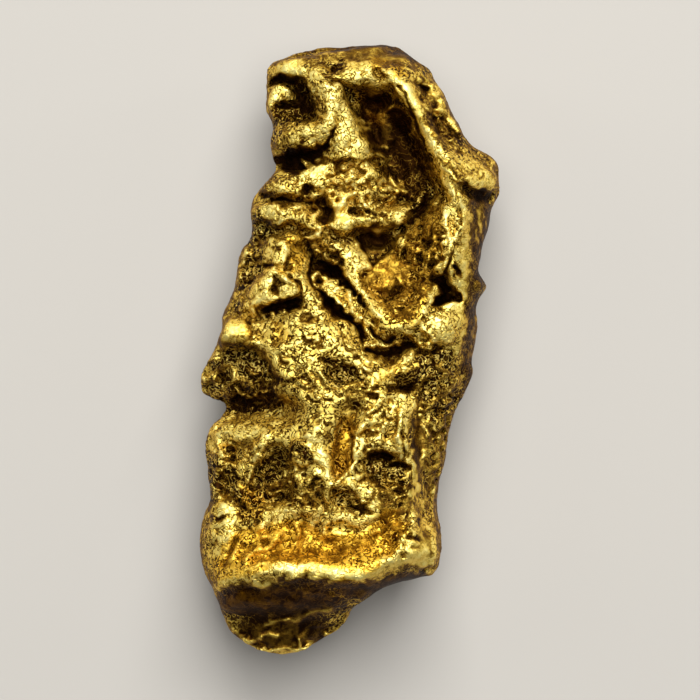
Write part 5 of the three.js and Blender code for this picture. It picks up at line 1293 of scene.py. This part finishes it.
rest_flat(etched)
thinned = worked(etched, "DECIMATE", ratio=PIECE_FACES / (2 * len(etched.polygons)))
rest_flat(thinned)
facing = smoothstep(normals_of(thinned)[:, 2], -0.2, 0.2)
face = Face(points_of(thinned) / MM, STRAY)
polished = paint(face, POLISHED) * facing
bare_and_highlit = lay(face, RUBBED_AND_HIGHLIT, RIM_HIGHLIGHTS) * facing
rim_highlights = lay(face, (), RIM_HIGHLIGHTS) * facing
stain_and_shade_patches = lay(face, STAINS_AND_SHADE, SEAMS_AND_SHADOWS) * facing * (1 - rim_highlights)
amber_and_reflection_film = lay(face, AMBER_AND_REFLECTION) * facing
face = Face(points_of(thinned) / MM, WANDER)
form(face)
burnish_and_highlight = np.clip(face.burnish_and_highlight, 0, 1) * facing
sunk_dirt_and_shade = face.sunk_dirt_and_shade * facing
near, mid, wide = sunken(thinned, (0.12, 0.25, 0.55))
hollow = smoothstep(wide, 0.05, 0.6)
pitted = smoothstep(near, 0.0, 0.05)
dipped = smoothstep(mid, 0.0, 0.12)
proud = 0.5 * smoothstep(-near, 0.0, 0.05) + 0.5 * smoothstep(-mid, 0.0, 0.12)
flank = 1 - smoothstep(normals_of(thinned)[:, 2], 0.0, 0.55)
lean = 1 - smoothstep(normals_of(thinned)[:, 2], 0.3, 0.85)
# Amber on its patches and on leaning sides: a warm tint, partly painted reflection of gold on gold
keep(thinned, "amber_and_reflection", np.maximum(amber_and_reflection_film, 0.75 * lean))
# Darker in hollows, pits and on steep flanks and leaning sides, partly iron stain and partly painted shade,
# and paler on what stands proud, partly rubbed clean and partly painted highlight
clean_and_unshaded = less(1.0, (hollow, 0.45), (pitted, 0.3), (dipped, 0.4), (flank, 0.5), (stain_and_shade_patches, 0.96))
bare_and_highlit = less(bare_and_highlit, (stain_and_shade_patches, 1.0), (lean, 0.4))
dirt_and_shade = np.maximum(less(1 - clean_and_unshaded, (bare_and_highlit, 0.8), (burnish_and_highlight, 0.6)), 0.95 * sunk_dirt_and_shade)
stain_and_shade = FRESH - 0.08 * proud - 0.14 * bare_and_highlit - 0.12 * burnish_and_highlight + 0.04 * lean + (1 - FRESH) * dirt_and_shade
stain_and_shade = np.clip(stain_and_shade, 0, 1)
keep(thinned, "stain_and_shade", stain_and_shade)
# On clean gold the tracks are grooves with dirt in them, and in hollows dark with stain and painted shade
# their rubbed tops show pale
calm = less(1.0, (polished, 0.9), (sunk_dirt_and_shade, 0.7), (flank, 0.4), (smoothstep(stain_and_shade_patches, 0.9, 0.97), 1.0))
swing = calm * np.interp(stain_and_shade, (0.0, 0.15, 0.35, 0.6, 0.8), (0.36, 0.48, 0.58, -0.2, -0.78))
keep(thinned, "swing", swing)
thinned.polygons.foreach_set("use_smooth", [True] * len(thinned.polygons))
nugget.data = thinned
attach(nugget, "root")
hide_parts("nugget")

# ---- Camera ----
# Straight above the nugget, with its head at the top of the picture. The long lens keeps the flanks
# from showing more than the face does.
VIEW_WIDTH = 34.2 * MM
VIEW_HEIGHT = 5 * MM  # the level at which the view is that wide
LENS = 220
camera_data = bpy.data.cameras.new("camera")
camera_data.lens = LENS
camera_data.clip_start = 0.01
camera = bpy.data.objects.new("camera", camera_data)
bpy.context.scene.collection.objects.link(camera)
camera.location = (0, 0, VIEW_HEIGHT + VIEW_WIDTH * LENS / camera_data.sensor_width)
bpy.context.scene.camera = camera

# ---- Floor ----
# A sheet of pale matte paper, flat and far wider than the view, on which the nugget lies on its worn
# back. It belongs to the studio and not to the part.
FLOOR_REACH = 2  # metres from the middle to each edge
floor_mesh = bpy.data.meshes.new("floor")
floor_corners = [(x * FLOOR_REACH, y * FLOOR_REACH, 0) for x, y in ((-1, -1), (1, -1), (1, 1), (-1, 1))]
floor_mesh.from_pydata(floor_corners, [], [(0, 1, 2, 3)])
floor = bpy.data.objects.new("floor", floor_mesh)
bpy.context.scene.collection.objects.link(floor)
paper = bpy.data.materials.new("pale_paper")
paper.use_nodes = True
paper.node_tree.nodes["Principled BSDF"].inputs["Base Color"].default_value = linear("#ABA7A0")
paper.node_tree.nodes["Principled BSDF"].inputs["Roughness"].default_value = 0.9
floor_mesh.materials.append(paper)


# ---- Studio light ----
# A softbox beyond the head, tilted down, picks out the relief. A broad one overhead fills the face, two
# narrow strips touch the flanks, and the room itself is dim. Each points at the nugget.
def softbox(name, place, width, height, power):
    light_data = bpy.data.lights.new(name, "AREA")
    light_data.shape = "RECTANGLE"
    light_data.size, light_data.size_y = width, height
    light_data.energy = power
    light = bpy.data.objects.new(name, light_data)
    bpy.context.scene.collection.objects.link(light)
    light.location = place
    light.rotation_mode = "QUATERNION"
    light.rotation_quaternion = (-Vector(place)).to_track_quat("-Z", "Y")


softbox("key", (0.06, 0.3, 0.3), 0.35, 0.2, 2.3)
softbox("overhead", (0.03, 0.12, 0.6), 0.5, 0.5, 4.0)
softbox("left_fill", (-0.35, 0.1, 0.15), 0.06, 0.25, 0.15)
softbox("right_fill", (0.35, 0.1, 0.15), 0.06, 0.25, 0.12)
world = bpy.data.worlds.new("dim_room")
world.use_nodes = True
world.node_tree.nodes["Background"].inputs["Color"].default_value = linear("#808080")
world.node_tree.nodes["Background"].inputs["Strength"].default_value = 0.06
bpy.context.scene.view_settings.view_transform = "Standard"
bpy.context.scene.view_settings.exposure = 0.0
bpy.context.scene.world = world
